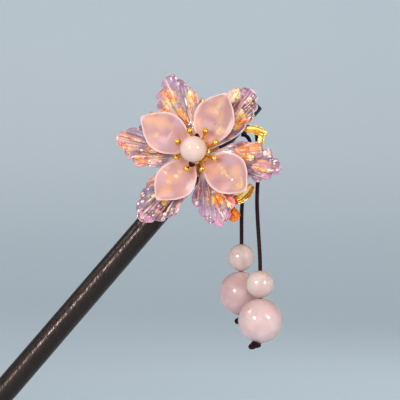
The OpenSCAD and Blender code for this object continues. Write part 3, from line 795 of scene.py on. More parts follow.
# Each leaf: its turn and reach, how strongly the painted highlight and shade on its midrib show,
# its share of flecks, the colour of the painted highlight on its rim, its left and its right edge
# as scallops of (along, half width) from the foot out, and its scraps of foil, tint and painted
# light as (distance from the foot, angle off the midrib, half length, half angle, tone)
glass_leaves = [
    (59.5, 25, 0, 0.12, "#ECC0CC",
     [[(1.5, 0.75), (4.5, 1.9), (8, 3.6), (11.5, 5.4), (14, 6.6)], [(15.4, 6.3), (16.2, 7),
      (17.2, 7.4), (18.2, 7)], [(18.9, 6.05), (19.5, 6.5), (20.3, 6.5), (21, 6), (21.4, 5.1)],
      [(21.8, 3.75), (22.6, 4), (23.4, 3.75), (24.1, 2.9), (24.6, 1.9)]],
     [[(1.5, 0.6), (4.5, 1.5), (8, 2.8), (11.5, 4.3), (13.4, 5.1)], [(14.3, 4.9), (15.2, 5.2),
      (16.4, 5.3), (17.4, 5.15)], [(18.3, 4.5), (19.1, 4.35), (19.8, 3.7)], [(20.3, 2.9),
      (21, 3.05), (21.8, 2.8), (22.5, 2.1)], [(22.95, 1.1), (23.6, 1.2), (24.3, 1)]],
     [(16, 10.6, 3.71, 8.2, "apricot"), (13.9, -11.2, 3.43, 5.3, "apricot"),
      (21.8, 5.3, 1.29, 3.4, "lilac"), (22.3, 0, 0.63, 1.2, "plum"),
      (19.6, -0.8, 1.14, 2.1, "lilac"), (19.9, -5.4, 0.34, 1.6, "wine"),
      (18.2, -9.1, 0.57, 2.7, "lilac"), (19.4, 15.8, 1.14, 2.1, "lilac"),
      (18.5, 9.1, 1.57, 4.4, "salmon"), (18, 9, 0.91, 2.4, "ember"), (16.2, 9.7, 0.57, 4.5, "gold"),
      (17.1, 11.3, 0.31, 4.4, "honey"), (17.2, 17.7, 0.43, 1.1, "violet"),
      (16.7, 21.6, 0.71, 1.5, "plum"), (15.4, 19.4, 0.71, 3.2, "amber"),
      (15.4, 16.3, 0.51, 0.7, "cream"), (15.2, 5.7, 0.57, 1.6, "mist"),
      (13.6, 9.6, 1.43, 3.6, "mist"), (12.4, 6.5, 1.14, 3.2, "amber"),
      (14.5, 10.2, 0.34, 1.4, "brown"), (10.4, 3.1, 1.71, 4.1, "amber"),
      (10.1, -6, 2.29, 2.6, "peach"), (15.4, -2.3, 2.57, 3.4, "ice"), (14.6, -1.3, 1, 1.7, "mist"),
      (14.7, -5.1, 0.86, 0.7, "painted_glint"), (13, -1.2, 0.71, 0.9, "mist"),
      (15.5, -12.1, 1.86, 3.6, "honey"), (15.3, -12.9, 0.4, 1.2, "ember"),
      (14.4, -13.5, 0.4, 1.3, "ember"), (16.8, -11.2, 0.63, 1.8, "cream"),
      (15.8, -18.2, 0.74, 1.1, "gold"), (12.9, -9, 1.14, 2.3, "peach"),
      (14.1, -18.8, 0.71, 1.7, "salmon"), (22.2, 1.5, 0.4, 0.4, "painted_glint"),
      (21.7, -2.4, 0.4, 0.5, "painted_glint"), (20.3, -2.9, 0.4, 0.5, "painted_glint"),
      (18.2, -10.6, 0.29, 0.5, "painted_glint")]),
    (-2.5, 24.1, 0.8, 0.12, "#FFEAEC",
     [[(1.5, 0.7), (4.5, 1.6), (8, 3.1), (11.5, 4.8), (14, 5.6)], [(15.2, 5.35), (16.2, 5.7),
      (17, 5.5)], [(17.7, 5), (18.4, 5.5), (19.3, 5.75), (20.2, 5.6), (21.1, 5), (21.7, 4.2)],
      [(22.1, 3.3), (22.6, 3.2), (23.1, 2.7)], [(23.4, 2.2), (23.7, 1.9)]],
     [[(1.5, 0.6), (4.5, 1.9), (7, 3.1), (9.4, 4.2), (12.3, 5.1), (14, 5.3)], [(15.3, 4.95),
      (16.4, 5.4), (17.4, 5.6), (18.5, 5.4)], [(19.4, 4.3), (20.2, 4.45), (21, 4.25), (21.7, 3.7)],
      [(22.2, 2.5), (22.9, 2.5), (23.4, 2.1)]],
     [(17.9, -0.3, 3.43, 8.2, "plum"), (14.5, -6.6, 2.86, 7.3, "apricot"),
      (17.9, -4.5, 1.29, 4.1, "dark"), (20.9, -3, 0.86, 2.4, "dark"), (18.3, 12, 2, 5.4, "apricot"),
      (18.3, 11.6, 1.57, 4.6, "cream"), (17.6, 14.1, 0.86, 1.9, "peach"),
      (17.1, 7.1, 0.86, 1.1, "tan"), (20.3, 6, 0.71, 2, "lilac"), (22, 2.5, 0.57, 3.7, "wine"),
      (22.4, -2, 0.86, 2.2, "wine"), (17.7, -3, 1.71, 6, "plum"), (17.9, 4.1, 1.14, 1.8, "brown"),
      (16, 6.2, 0.71, 2.6, "wine"), (19, 2.6, 2.43, 0.7, "rose"), (16.7, 0.9, 1.86, 0.6, "shell"),
      (19.9, -1.7, 0.54, 1.6, "cream"), (19.7, -3, 0.37, 1.2, "amber"),
      (18.4, -0.3, 0.31, 1, "cream"), (20.4, -4.9, 0.57, 0.6, "plum"),
      (21.3, -2.1, 0.23, 0.5, "painted_glint"), (21.6, -3.5, 0.43, 1.1, "ice"),
      (14.8, -6.1, 1.43, 4.9, "honey"), (15.4, -2.9, 0.86, 2.7, "cream"),
      (15.3, -15.3, 0.86, 1.9, "amber"), (16.9, -10, 0.86, 3.4, "plum"),
      (14.6, -15.8, 0.57, 1.6, "brown"), (16.5, -14.6, 0.4, 0.9, "painted_glint"),
      (17.2, -12.4, 0.34, 1.4, "ice"), (17.9, -14.9, 0.57, 0.7, "tan"),
      (12.3, -12.9, 1.29, 4.7, "peach"), (12.2, -13.5, 1.14, 4, "honey"),
      (13.7, -12.2, 0.86, 2.4, "amber"), (10.4, -20.3, 1.43, 2.2, "wine"),
      (9.2, -23.4, 0.86, 2.3, "amber"), (18.5, -5.9, 0.2, 0.6, "shell"),
      (19.7, -6, 0.2, 0.6, "shell"), (18.4, -8, 0.2, 0.6, "shell"),
      (17.2, -5.6, 0.2, 0.7, "shell")]),
    (-61.5, 25.1, 0.4, 0.12, "#E4B0CC",
     [[(1.5, 0.7), (4.5, 2.2), (7, 3.8), (9, 5.2), (11.1, 6), (13, 6.3)], [(14.4, 6.1), (15.5, 6.5),
      (16.7, 6.4), (17.8, 5.9), (18.4, 5.2)], [(18.9, 4.35), (19.5, 4.95), (20.3, 5.1), (21.2, 4.6),
      (21.8, 3.7)], [(22.3, 2.35), (22.9, 2.75), (23.6, 2.5), (24.3, 1.6)]],
     [[(1.5, 0.6), (4.5, 1.5), (8, 2.9), (11.5, 4.4), (13.5, 5), (15.2, 4.6)], [(16.6, 3.6),
      (17.4, 4.4), (18.1, 4.95), (18.9, 5.1), (19.8, 4.85)], [(20.5, 3.9), (21.3, 4.1), (22.1, 3.9),
      (22.7, 3.3)], [(23.1, 2.2), (23.8, 2.35), (24.4, 2.1)]],
     [(12.9, 15.6, 3.43, 11.5, "apricot"), (9.6, 27.3, 1.43, 6.8, "plum"),
      (18.2, -1.2, 2.57, 4.9, "apricot"), (11.8, 27.4, 1.43, 2.2, "plum"),
      (11.3, 19, 1.57, 4.9, "ember"), (15.1, 23.6, 1.71, 1.1, "shell"),
      (15.1, 20.5, 1.14, 1.3, "amber"), (14.7, 16.3, 1, 2.2, "peach"),
      (16.3, 15.9, 0.86, 2.2, "amber"), (14.5, 12.7, 0.86, 1.5, "shell"),
      (12.7, 8.7, 1.29, 4.5, "amber"), (13.9, 7.2, 0.91, 2.6, "cream"),
      (15.2, 6.4, 0.29, 2.2, "brown"), (16.3, 10.5, 0.86, 2.5, "lilac"),
      (15, -6.1, 1, 3.8, "lilac"), (13.9, 0, 0.86, 2.4, "ice"), (16, -2.5, 0.91, 3.3, "shell"),
      (16, -2.5, 0.54, 1.9, "amber"), (17.5, 4.2, 1.14, 0.9, "peach"), (18.3, 1.3, 1.43, 1, "rose"),
      (18.8, -3.2, 1.57, 2.3, "peach"), (20.4, -3, 0.74, 0.6, "painted_glint"), (19.2, 11.1, 1, 2, "shell"),
      (18.3, 11.8, 0.37, 1.2, "cream"), (19.8, 8.2, 0.51, 0.5, "painted_glint"),
      (21.8, 4.8, 0.51, 0.5, "painted_glint"), (22, 0.4, 1.14, 3, "wine"), (22.7, -1.7, 0.29, 0.7, "painted_glint"),
      (17, -8, 1.43, 1.3, "plum"), (17.6, -12.1, 0.86, 1.7, "ice"), (20.1, -9.1, 1.29, 1.6, "rose"),
      (18.4, -14.5, 0.29, 0.7, "painted_glint"), (15.5, -15, 0.51, 1.6, "salmon")]),
    (-119, 22.8, 0, 0.08, "#F29CC4",
     [[(1.5, 0.65), (4.5, 1.6), (8, 3.2), (11, 4.9), (13.4, 6.1), (14.6, 6.4)], [(15.8, 5.5),
      (16.8, 5.75), (17.8, 5.65), (18.6, 5.2), (19.1, 4.4)], [(19.7, 3.35), (20.4, 3.5),
      (21.1, 3.25), (21.7, 2.6)], [(22.1, 1.2), (22.4, 1.1)]],
     [[(1.5, 0.6), (4, 1.2), (6.5, 2.1), (8.4, 3.3), (9.6, 4.6), (10.9, 5.6), (12.2, 6.1),
      (13.4, 6.1), (14.4, 5.6)], [(15.05, 4.6), (15.7, 5.1), (16.6, 5.2), (17.5, 5), (18.3, 4.5)],
      [(18.8, 3.8), (19.5, 3.95), (20.3, 3.65), (20.9, 3)], [(21.3, 2), (21.8, 2.1), (22.3, 1.7)]],
     [(13.2, 10.6, 2.57, 12.4, "apricot"), (14.1, -11.1, 2.57, 8.1, "lilac"),
      (17.3, -2.2, 2, 4.7, "lilac"), (8.1, -21.2, 2.29, 2.4, "coral"),
      (10.9, -24.8, 2, 1.2, "plum"), (11.2, -16.4, 1.86, 1.3, "plum"),
      (8.3, -12.2, 1.29, 3.5, "ice"), (10, -5.7, 1.14, 2.6, "salmon"),
      (13.2, 7.8, 1.43, 9.3, "amber"), (10.6, 2.4, 0.46, 1.9, "painted_glint"),
      (11, 2.9, 0.26, 1.2, "plum"), (16.3, 16.2, 2.29, 3.6, "coral"),
      (16.5, 13.1, 0.57, 2, "cream"), (17.7, 14.2, 0.57, 1.7, "ember"), (12.6, -8.6, 1, 2.6, "tan"),
      (15.2, -14.6, 1.29, 3.2, "violet"), (15, -1.9, 1.43, 2.7, "violet"),
      (18.3, -1.1, 1.43, 1.8, "lilac"), (15.8, 1.9, 1.43, 1, "peach"), (15.9, 7, 1, 2.1, "mist"),
      (18.5, 3.2, 1.29, 0.7, "painted_glint"), (18.6, 6.9, 1.14, 1.8, "rose"),
      (20.2, -1.7, 1.71, 3.2, "rose"), (13.1, -22.4, 0.51, 1.2, "painted_glint"),
      (14.4, -18, 0.17, 0.7, "painted_glint"), (18, -10.4, 0.17, 0.5, "painted_glint"),
      (17.9, -7.6, 0.17, 0.5, "painted_glint"), (14, 14.7, 0.86, 1.4, "brown"),
      (12.9, -0.2, 0.86, 1.9, "gold")]),
    (181.5, 25.3, 1, 0.1, "#F2B8C8",
     [[(1.5, 0.7), (4.5, 1.7), (8, 3.4), (10.5, 4.7), (12.4, 5.4), (13.8, 5.65)], [(14.6, 5.6),
      (15.6, 6.2), (16.8, 6.6), (18, 6.6), (19.1, 6.1)], [(19.9, 5.1), (20.6, 5.35), (21.4, 5),
      (22, 4.2)], [(22.5, 3.1), (23.2, 3.05), (23.9, 2.5), (24.6, 1.7)]],
     [[(1.5, 0.6), (4.5, 1.9), (7.5, 3.9), (10, 5.7), (12, 6.4), (14, 6.7), (15.6, 6.65)],
      [(16.7, 5.9), (17.6, 6.05), (18.7, 5.8), (19.6, 5.4)], [(20.4, 4.55), (21.2, 4.6),
      (22.2, 4.3), (23, 3.7), (23.8, 2.9)], [(24.3, 2.1), (24.8, 1.9)]],
     [(13.9, -23, 2, 4.7, "apricot"), (17.4, 5.3, 2.29, 6.6, "plum"),
      (16.7, 10.3, 1.43, 3.4, "dark"), (13.2, -27.2, 0.86, 2.5, "peach"),
      (14.1, -19.5, 0.71, 2.3, "tan"), (14.8, -23.5, 0.57, 1.8, "peach"),
      (15.9, -13.9, 1.14, 4.1, "ice"), (16, -17.2, 0.17, 0.6, "painted_glint"),
      (18.2, -14.8, 0.34, 0.9, "cream"), (16, -8.2, 0.51, 1.6, "cream"),
      (17.6, -7.4, 0.86, 0.6, "cream"), (18.6, -6.6, 0.43, 1.3, "tan"),
      (19.4, -10.3, 0.4, 0.8, "painted_glint"), (21.7, -5.6, 0.86, 0.6, "shell"),
      (19.6, -2.5, 1.57, 0.7, "shell"), (18.6, 7.2, 0.46, 1.3, "coral"),
      (17.1, 3.1, 0.34, 1, "shell"), (18.8, 0.8, 0.29, 0.9, "shell"),
      (18.3, 12.8, 0.43, 1.3, "cream"), (19.4, 13.3, 0.71, 0.5, "painted_glint"),
      (15.3, 5.9, 0.71, 2.1, "gold"), (17.4, 8.6, 0.86, 0.7, "shell"),
      (15.9, 10.9, 1.71, 0.9, "dark"), (16, 13.2, 1.71, 0.7, "shell"),
      (15.7, 17.6, 1.43, 1.3, "dark"), (16.1, 16.2, 0.17, 0.6, "painted_glint"),
      (17.2, 18.7, 0.17, 0.6, "painted_glint"), (14.8, 22, 1.43, 1.9, "peach"),
      (22, 2.4, 0.71, 5.9, "rose"), (22.6, -0.8, 0.43, 1.1, "cream"),
      (21.2, 3.4, 0.17, 0.5, "painted_glint"), (20.3, 4.6, 0.17, 0.5, "painted_glint")]),
    (119.5, 24.6, 0.9, 0.12, "#F4CACE",
     [[(1.5, 0.7), (4.5, 2.2), (7.5, 4.2), (9.5, 5.3), (11.5, 5.9), (13.2, 6.2)], [(14.2, 6.1),
      (15.2, 6.5), (16.4, 6.75), (17.3, 6.5), (18.1, 5.9)], [(18.75, 4.75), (19.5, 5.05),
      (20.3, 4.75), (21, 4)], [(21.65, 2.45), (22.5, 2.65), (23.2, 2.2), (23.9, 1.3)]],
     [[(1.5, 0.6), (4.5, 1.6), (8, 3.2), (11.5, 4.7), (14, 5.4)], [(15.4, 5.1), (16.4, 5.7),
      (17.4, 5.9), (18.4, 5.6)], [(19.1, 4.45), (19.9, 4.4), (20.8, 4.2), (21.7, 3.7)],
      [(22.4, 2.65), (23.1, 2.8), (23.8, 2.4)]],
     [(19.8, 1.3, 3.14, 7.4, "apricot"), (14.8, 17.6, 2.57, 5.5, "apricot"),
      (11.5, 6.9, 2.86, 8.5, "apricot"), (11.4, 21.8, 1.43, 5.7, "shell"),
      (21.4, -1.5, 1.71, 4.6, "salmon"), (20.8, -1.4, 1.43, 0.6, "shell"),
      (19.2, 1.9, 2, 0.6, "brown"), (20.5, -3.1, 1.14, 0.6, "brown"),
      (19.6, 5.2, 1.14, 2.9, "salmon"), (18.9, 12, 0.63, 2.6, "tan"),
      (19.6, -9.7, 1.29, 2.1, "violet"), (16.6, -8.1, 1, 4.9, "violet"),
      (17, -3.9, 0.86, 1.9, "peach"), (17.7, 2.4, 1.71, 0.9, "shell"),
      (18, 9.9, 0.51, 1.6, "violet"), (15.3, 2.5, 0.86, 2.7, "violet"),
      (15.4, 6.2, 0.34, 1.1, "painted_glint"), (16.7, 6, 0.57, 1.2, "mist"), (14.9, 8.1, 1.71, 0.8, "plum"),
      (17.9, -13.8, 0.29, 0.7, "painted_glint"), (18, 13.8, 0.23, 1.4, "plum"),
      (15.6, 20.8, 1.43, 2.9, "salmon"), (16.5, 13.8, 0.63, 1.8, "amber"),
      (14.4, 15, 1.14, 2.8, "salmon"), (14, 14.1, 0.43, 1.8, "plum"),
      (16.5, 16.7, 0.34, 0.8, "brown"), (13.9, 23.2, 0.43, 1.2, "brown"),
      (13.8, 2.1, 0.57, 2, "amber"), (12.3, 6.3, 0.86, 1.9, "cream"),
      (11.1, 14.7, 1.43, 1.5, "peach"), (11.2, 9.9, 1.71, 1, "plum"),
      (11.7, 26.2, 1.14, 1.4, "lilac"), (12.8, 19.4, 0.43, 0.8, "painted_glint")]),
]


def turned_out(x, y, z, turn):
    """Places along, across and up from the flower, turned to where the piece points."""
    return np.column_stack([x, y, z]) @ spin(math.radians(turn), 2).T


def leaf_shape(turn, reach, edges):
    """The places of a fluted leaf, whose flutes run straight from its foot to its notches."""
    length = reach - leaf_foot
    widths, notches = [], []
    for edge in edges:
        points = [((x - leaf_foot) / length, w) for scallop in edge for x, w in scallop]
        widths.append(points + [(1, points[-1][1] * 0.6)])
        starts = [scallop[0] for scallop in edge[1:]]
        angles = sorted(math.degrees(math.atan2(w, x - leaf_foot)) for x, w in starts)
        angles = [0] + angles + [angles[-1] + 12, angles[-1] + 24, 90]
        notches.append((angles, [0.5] + list(range(1, len(angles)))))

    def shape(s, u, side):
        left = u > 0
        half = np.where(left, even(widths[0], s), even(widths[1], s))
        tip = (1 - s) / 0.03
        half = half * round_end(tip) * round_end(s / 0.03)
        along, y = length * s, u * half
        off = np.degrees(np.arctan2(np.abs(y), along + 0.02))
        lobe = np.where(left, *(np.interp(off, *notch) for notch in notches))
        ready = np.clip(s * 4, 0, 1)
        flute = (np.abs(np.sin(math.pi * lobe)) ** 0.6 - 0.75) * ready
        fine = (np.abs(np.sin(2 * math.pi * lobe)) - 0.6) * ready * np.clip((0.95 - s) * 8, 0, 1)
        beside = (np.abs(y) - leaf_rib_groove_in) / leaf_rib_groove_width
        rib = np.exp(-((y / leaf_rib_width) ** 2)) - leaf_rib_groove * np.exp(-(beside**2))
        rib = rib * np.clip(s * 6, 0, 1) * np.clip((0.94 - s) * 6, 0, 1)
        cup = np.sin(math.pi * np.minimum(s, 0.5)) * (1 - 0.6 * np.maximum(0, s - 0.5)) * u * u
        level = leaf_foot_z + (leaf_tip_z - leaf_foot_z) * even(leaf_rises, s) + cup
        wall = leaf_wall / 2 * (1 - 0.35 * u**4)
        soft = round_side(u, half, wall) * round_end(tip) ** 0.6
        top_lines = leaf_flute * flute + leaf_fine_flute * fine + leaf_rib * rib
        lines = np.where(side > 0, top_lines, leaf_under_flute * flute)
        rim = np.minimum((1 - np.abs(u)) * half, (1 - s) * length * 0.7)
        roll = leaf_roll * np.exp(-(((rim - leaf_roll_in) / leaf_roll_width) ** 2))
        roll = np.where(side > 0, roll, 0.0) * np.clip(s * 3 - 0.6, 0, 1)
        z = level + side * soft * wall + (lines + roll) * soft
        polar = [np.hypot(along, y), np.degrees(np.arctan2(y, along + 0.02)), rim]
        flutes = [np.where(left, lobe, -lobe), s, y]
        kept = {"lay": np.column_stack(polar), "flute": np.column_stack(flutes)}
        return turned_out(leaf_foot + along, y, z, turn), kept

    return shape


def covered(tree, place, scrap, ragged, outer, inner):
    """How much of a scrap lies here, from 0 to 1, with a ragged edge."""
    along, across, long, wide = scrap
    away = vector(tree, "SUBTRACT", place, (along, across, 0))[0]
    away = vector(tree, "MULTIPLY", away, (1 / long, 1 / wide, 0))[0]
    away = vector(tree, "LENGTH", away)["Value"]
    return fade(tree, figure(tree, "ADD", away, ragged), outer, inner)


def mixed(tree, *shares):
    """A sum of sockets, each times its own share."""
    parts = [times(tree, value, share) for value, share in shares]
    total = parts[0]
    for part in parts[1:]:
        total = figure(tree, "ADD", total, part)
    return total


def leaf_glass(number, midrib, flecks, rim_highlight_tone, scraps):
    """Clear tinted glass with foil fused in: streaked along the flutes, with bright flecks, and
    painted glints, shade and highlights laid over it.
    """
    glass, tree, shader, at = new_finish(f"lavender_leaf_glass_{number}")
    lay = kept_on(tree, "lay")
    rim = split(tree, lay)["Z"]
    lobe, run, across = split(tree, kept_on(tree, "flute"))
    streak = clouds(tree, lay, 1, 4, 0.6, 0.3, stretch=(0.32, 0.42, 0.05))
    grit = clouds(tree, at, 1300, 3, 0.6)
    swirl = clouds(tree, at, 330, 3, 0.5, 0.8)

    # Bands of lavender and rose run under everything else.
    body = ramp(tree, swirl, [(0.3, "#AC8CB0"), (0.5, "#C09CB6"), (0.7, "#D6AEBE")])
    body = blend(tree, fade(tree, streak, 0.4, 0.65, 0, 0.7), body, "#DAB6BE")
    cover = fade(tree, grit, 0.3, 0.7, 0.05, 0.2)
    ragged = figure(tree, "SUBTRACT", mixed(tree, (streak, 1.3), (grit, 2.4)), 1.85)
    slightly = times(tree, ragged, 0.4)
    for along, off, long, wide, tone in scraps:
        colour, strength = foil_tones[tone]
        edge = ragged if long > 0.7 else slightly
        here = covered(tree, lay, (along, off, long, wide), edge, 1.45, 1.1)
        here = times(tree, here, strength)
        body = blend(tree, here, body, colour)
        cover = figure(tree, "MAXIMUM", cover, here)

    # The foil is crinkled: its shards are painted brighter and duller as painted facet highlight
    # and shade, with a painted glint on the brightest.
    shard = cells(tree, at, 1500)[1]
    mottle = mixed(tree, (streak, 0.6), (grit, 0.4), (shard, 0.22))
    shard_light_and_shade = ramp(tree, mottle, [(0.44, "#A86A4C"), (0.54, "#F6F0EC"), (0.66, "#FFFFFF")])
    body = blend(tree, times(tree, cover, 0.8), body, shard_light_and_shade, "MULTIPLY")
    glint = fade(tree, mottle, 0.66, 0.74, 0, 0.6)
    body = blend(tree, times(tree, cover, glint), body, "#FFE8BC")

    # Flute lines: a painted shade line in each groove, and a pale one where the crest catches the
    # light.
    groove, crest = (
        figure(tree, "ABSOLUTE", figure(tree, "SINE", times(tree, lobe, turns * math.pi)))
        for turns in (1, 2)
    )
    groove_shade = times(tree, fade(tree, groove, 0.26, 0.06, 0, 0.7), fade(tree, swirl, 0.38, 0.58))
    pale_line = times(tree, fade(tree, crest, 0.92, 0.99, 0, 0.8), fade(tree, streak, 0.5, 0.58))
    body = blend(tree, groove_shade, body, "#84586A")
    body = blend(tree, pale_line, body, "#F8DED2")
    # The midrib: a painted highlight on the rib and painted shade beside it, as strong as its
    # midrib share.
    off_middle = figure(tree, "ABSOLUTE", across)
    outer = times(tree, fade(tree, run, 0.55, 0.68), midrib)
    beside = times(tree, fade(tree, off_middle, 0.6, 0.38, 0, 0.6), outer)
    rib_highlight = times(tree, fade(tree, off_middle, 0.34, 0.16, 0, 0.6), outer)
    body = blend(tree, rib_highlight, blend(tree, beside, body, "#8A6270"), "#F4CCD2")

    # Towards the foot the glass is painted paler, as painted light that lifts the shade round the
    # middle, and is made less clear.
    foot = fade(tree, run, 0.38, 0.2, 0, 0.85)
    body = blend(tree, foot, body, "#F4D8D6")

    # The rim: a painted highlight on its thin edge, and a rose band inside it. Small flecks of foil
    # lie over all.
    painted_rim_edge = fade(tree, rim, 0.42, 0.2, 0, 0.9)
    body = blend(tree, fade(tree, rim, 1.2, 0.5, 0, 0.42), body, "#D49CB4")
    body = blend(tree, painted_rim_edge, body, rim_highlight_tone)
    away, chance, paleness = cells(tree, at, 1150)
    fleck = times(tree, fade(tree, away, 0.34, 0.26), fade(tree, chance, 1 - flecks, 1.01 - flecks))
    gilt = blend(tree, fade(tree, paleness, 0.45, 0.55), "#F0B868", "#FCE8CC")
    body = blend(tree, fleck, body, gilt)
    for share, strength in ((foot, 1), (fleck, 0.9), (pale_line, 0.8), (painted_rim_edge, 0.55)):
        cover = figure(tree, "MAXIMUM", cover, times(tree, share, strength))
    dress(tree, shader, {
        "Base Color": body,
        "Transmission Weight": figure(tree, "SUBTRACT", 0.76, times(tree, cover, 0.76)),
        "Metallic": times(tree, fleck, 0.5),
        "Roughness": fade(tree, cover, 0.2, 0.9, 0.04, 0.2),
        "IOR": 1.5,
        "Coat Weight": 0.8,
        "Coat Roughness": 0.04,
        "Normal": relief(tree, swirl, 0.0002, 0.5),
    })
    return glass


for number, row in enumerate(glass_leaves, 1):
    turn, reach, midrib, flecks, rim_highlight_tone, left, right, scraps = row
    shape = leaf_shape(turn, reach, (left, right))
    leaf = wrapped_sheet(f"glass_leaf_{number}", leaf_rows, leaf_columns, shape)
    leaf.data.materials.append(leaf_glass(number, midrib, flecks, rim_highlight_tone, scraps))
    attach(leaf, "root")
    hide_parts(f"leaf_petal_{number}")


# The frosted petals: thick cupped glass, etched to a soft matt pink, with a polished edge painted
# paler, partly its own tone and partly painted highlight. Their colour drifts from rose to peach
# and lavender, and flakes of gold leaf lie inside; painted glints and a foot painted paler as
# painted light lie on them too.
frosted_foot, frosted_foot_z, frosted_tip_z = 1.5, 6.1, 12.3
frosted_cup, frosted_wall, frosted_ripple = 1.9, 1.1, 0.06
frosted_rows, frosted_columns = 72, 41
frosted_widths = [
    (0, 0.16), (0.1, 0.33), (0.25, 0.7), (0.4, 0.93), (0.52, 1), (0.65, 0.95), (0.8, 0.68),
    (0.9, 0.38), (0.96, 0.19), (1, 0.06),
]
frosted_rises = [(0, 0), (0.2, 0.12), (0.4, 0.25), (0.6, 0.42), (0.8, 0.66), (1, 1)]
# What drifts in the glass, and the painted highlights laid on it: its colour, its strength, and how
# soft its edge is
frost_tones = {
    "peach": ("#F0BC98", 0.75, 1.7), "apricot": ("#E8A67E", 0.75, 1.5),
    "tan": ("#DCAC84", 0.7, 1.4), "rose": ("#CC8C8C", 0.6, 1.6), "mauve": ("#B88694", 0.6, 1.5),
    "taupe": ("#B08C80", 0.5, 1.4), "lilac": ("#CBAAC0", 0.6, 1.7), "blush": ("#F6D2D2", 0.4, 1.7),
    "cream": ("#F4D0A0", 0.6, 1.3), "painted_glint": ("#FFF0EA", 0.6, 1.3), "gilt": ("#F6CC80", 0.9, 1),
    "olive": ("#A88A48", 0.75, 0.6), "painted_spark": ("#FFF8F0", 0.9, 1.2),
}
# Each petal: its turn and reach, its half width on its left and on its right, then what drifts in
# it and the painted highlights on it: (along, across, half length, half width, tone)
frosted_petals = [
    (98, 18.8, 5.9, 5.9,
     [(0.72, -0.38, 0.13, 0.29, "peach"), (0.57, -0.72, 0.06, 0.15, "mauve"),
      (0.52, -0.17, 0.07, 0.17, "mauve"), (0.4, -0.35, 0.07, 0.21, "rose"),
      (0.53, -0.4, 0.05, 0.12, "tan"), (0.42, 0.53, 0.1, 0.26, "lilac"),
      (0.56, 0.83, 0.07, 0.2, "blush"), (0.46, -0.72, 0.07, 0.15, "lilac"),
      (0.65, 0.35, 0.03, 0.16, "cream"), (0.53, 0.35, 0.08, 0.15, "blush"),
      (0.88, -0.17, 0.07, 0.44, "peach"), (0.47, 0, 0.02, 0.25, "blush")]),
    (10.5, 18.7, 6.3, 6.1,
     [(0.64, 0.3, 0.08, 0.24, "peach"), (0.35, 0.73, 0.08, 0.16, "peach"),
      (0.6, -0.2, 0.1, 0.14, "tan"), (0.51, 0.25, 0.07, 0.23, "mauve"),
      (0.56, -0.55, 0.07, 0.17, "taupe"), (0.37, 0.2, 0.05, 0.21, "lilac"),
      (0.42, -0.52, 0.07, 0.25, "cream"), (0.85, 0.18, 0.07, 0.3, "peach"),
      (0.74, 0.15, 0.08, 0.12, "cream"), (0.65, 0.05, 0.03, 0.07, "cream"),
      (0.48, -0.07, 0.02, 0.06, "olive"), (0.48, -0.25, 0.02, 0.07, "olive"),
      (0.51, -0.12, 0.01, 0.04, "olive"), (0.54, -0.82, 0.12, 0.08, "painted_glint"),
      (0.42, -0.4, 0.08, 0.05, "blush"), (0.5, 0.93, 0.08, 0.09, "blush")]),
    (-88, 20, 6.6, 5.3,
     [(0.32, -0.25, 0.06, 0.47, "apricot"), (0.26, 0.07, 0.04, 0.24, "mauve"),
      (0.49, -0.55, 0.08, 0.27, "mauve"), (0.42, 0.68, 0.08, 0.28, "lilac"),
      (0.62, 0.4, 0.09, 0.23, "peach"), (0.2, 0.23, 0.05, 0.26, "apricot"),
      (0.85, -0.15, 0.05, 0.36, "peach"), (0.33, 0.2, 0.02, 0.07, "gilt"),
      (0.39, 0.15, 0.03, 0.07, "gilt"), (0.46, 0.07, 0.04, 0.11, "gilt"),
      (0.57, 0.03, 0.05, 0.06, "cream"), (0.45, -0.05, 0.02, 0.07, "gilt"),
      (0.66, 0.03, 0.02, 0.06, "painted_spark"), (0.73, -0.02, 0.01, 0.05, "cream"),
      (0.79, -0.05, 0.02, 0.12, "gilt"), (0.51, 0.05, 0.02, 0.04, "gilt"),
      (0.79, 0.35, 0.05, 0.12, "cream"), (0.86, 0.15, 0.04, 0.26, "gilt"),
      (0.79, 0.03, 0.03, 0.12, "cream"), (0.69, 0.2, 0.02, 0.05, "cream"),
      (0.67, -0.6, 0.05, 0.27, "blush"), (0.96, -0.35, 0.03, 0.57, "lilac")]),
    (-175, 17.7, 6.2, 5.6,
     [(0.52, -0.68, 0.03, 0.14, "cream"), (0.46, -0.15, 0.04, 0.16, "gilt"),
      (0.36, -0.17, 0.04, 0.14, "gilt"), (0.61, -0.25, 0.04, 0.14, "gilt"),
      (0.53, -0.3, 0.07, 0.2, "apricot"), (0.32, -0.62, 0.04, 0.19, "tan"),
      (0.41, -0.78, 0.04, 0.11, "blush"), (0.32, -0.95, 0.04, 0.19, "lilac"),
      (0.74, -0.07, 0.07, 0.26, "apricot"), (0.45, 0.85, 0.11, 0.24, "painted_glint"),
      (0.51, -0.65, 0.01, 0.04, "painted_spark"), (0.44, -0.15, 0.02, 0.05, "painted_spark"),
      (0.32, 0.25, 0.07, 0.23, "rose"), (0.65, -0.65, 0.07, 0.16, "lilac"),
      (0.81, 0.3, 0.07, 0.28, "blush"), (0.86, 0.03, 0.07, 0.37, "peach"),
      (0.32, 0.93, 0.12, 0.07, "blush")]),
]


def frosted_shape(turn, reach, left, right):
    """The places of a cupped petal that rises to a pointed tip."""
    length = reach - frosted_foot

    def shape(s, u, side):
        half = np.where(u > 0, left, right) * even(frosted_widths, s)
        tip = (1 - s) / 0.03
        half = half * round_end(tip) * round_end(s / 0.03)
        bowl = np.maximum(np.sin(math.pi * np.clip(s, 1e-6, 1) ** 0.8), 0) ** 0.8
        level = frosted_foot_z + (frosted_tip_z - frosted_foot_z) * even(frosted_rises, s)
        level = level + frosted_cup * bowl * u * u
        wall = frosted_wall / 2 * (1 - 0.25 * u**4)
        soft = round_side(u, half, wall) * round_end(tip) ** 0.6
        ripple = frosted_ripple * np.sin(5 * u + 3 * s) * np.sin(7 * s)
        ripple = ripple * np.clip((1 - np.abs(u)) * 4, 0, 1)
        z = level + (side * wall + ripple) * soft
        rim = np.minimum((1 - np.abs(u)) * half, (1 - s) * length * 0.6)
        places = turned_out(frosted_foot + length * s, u * half, z, turn)
        return places, {"lay": np.column_stack([s, u, rim])}

    return shape


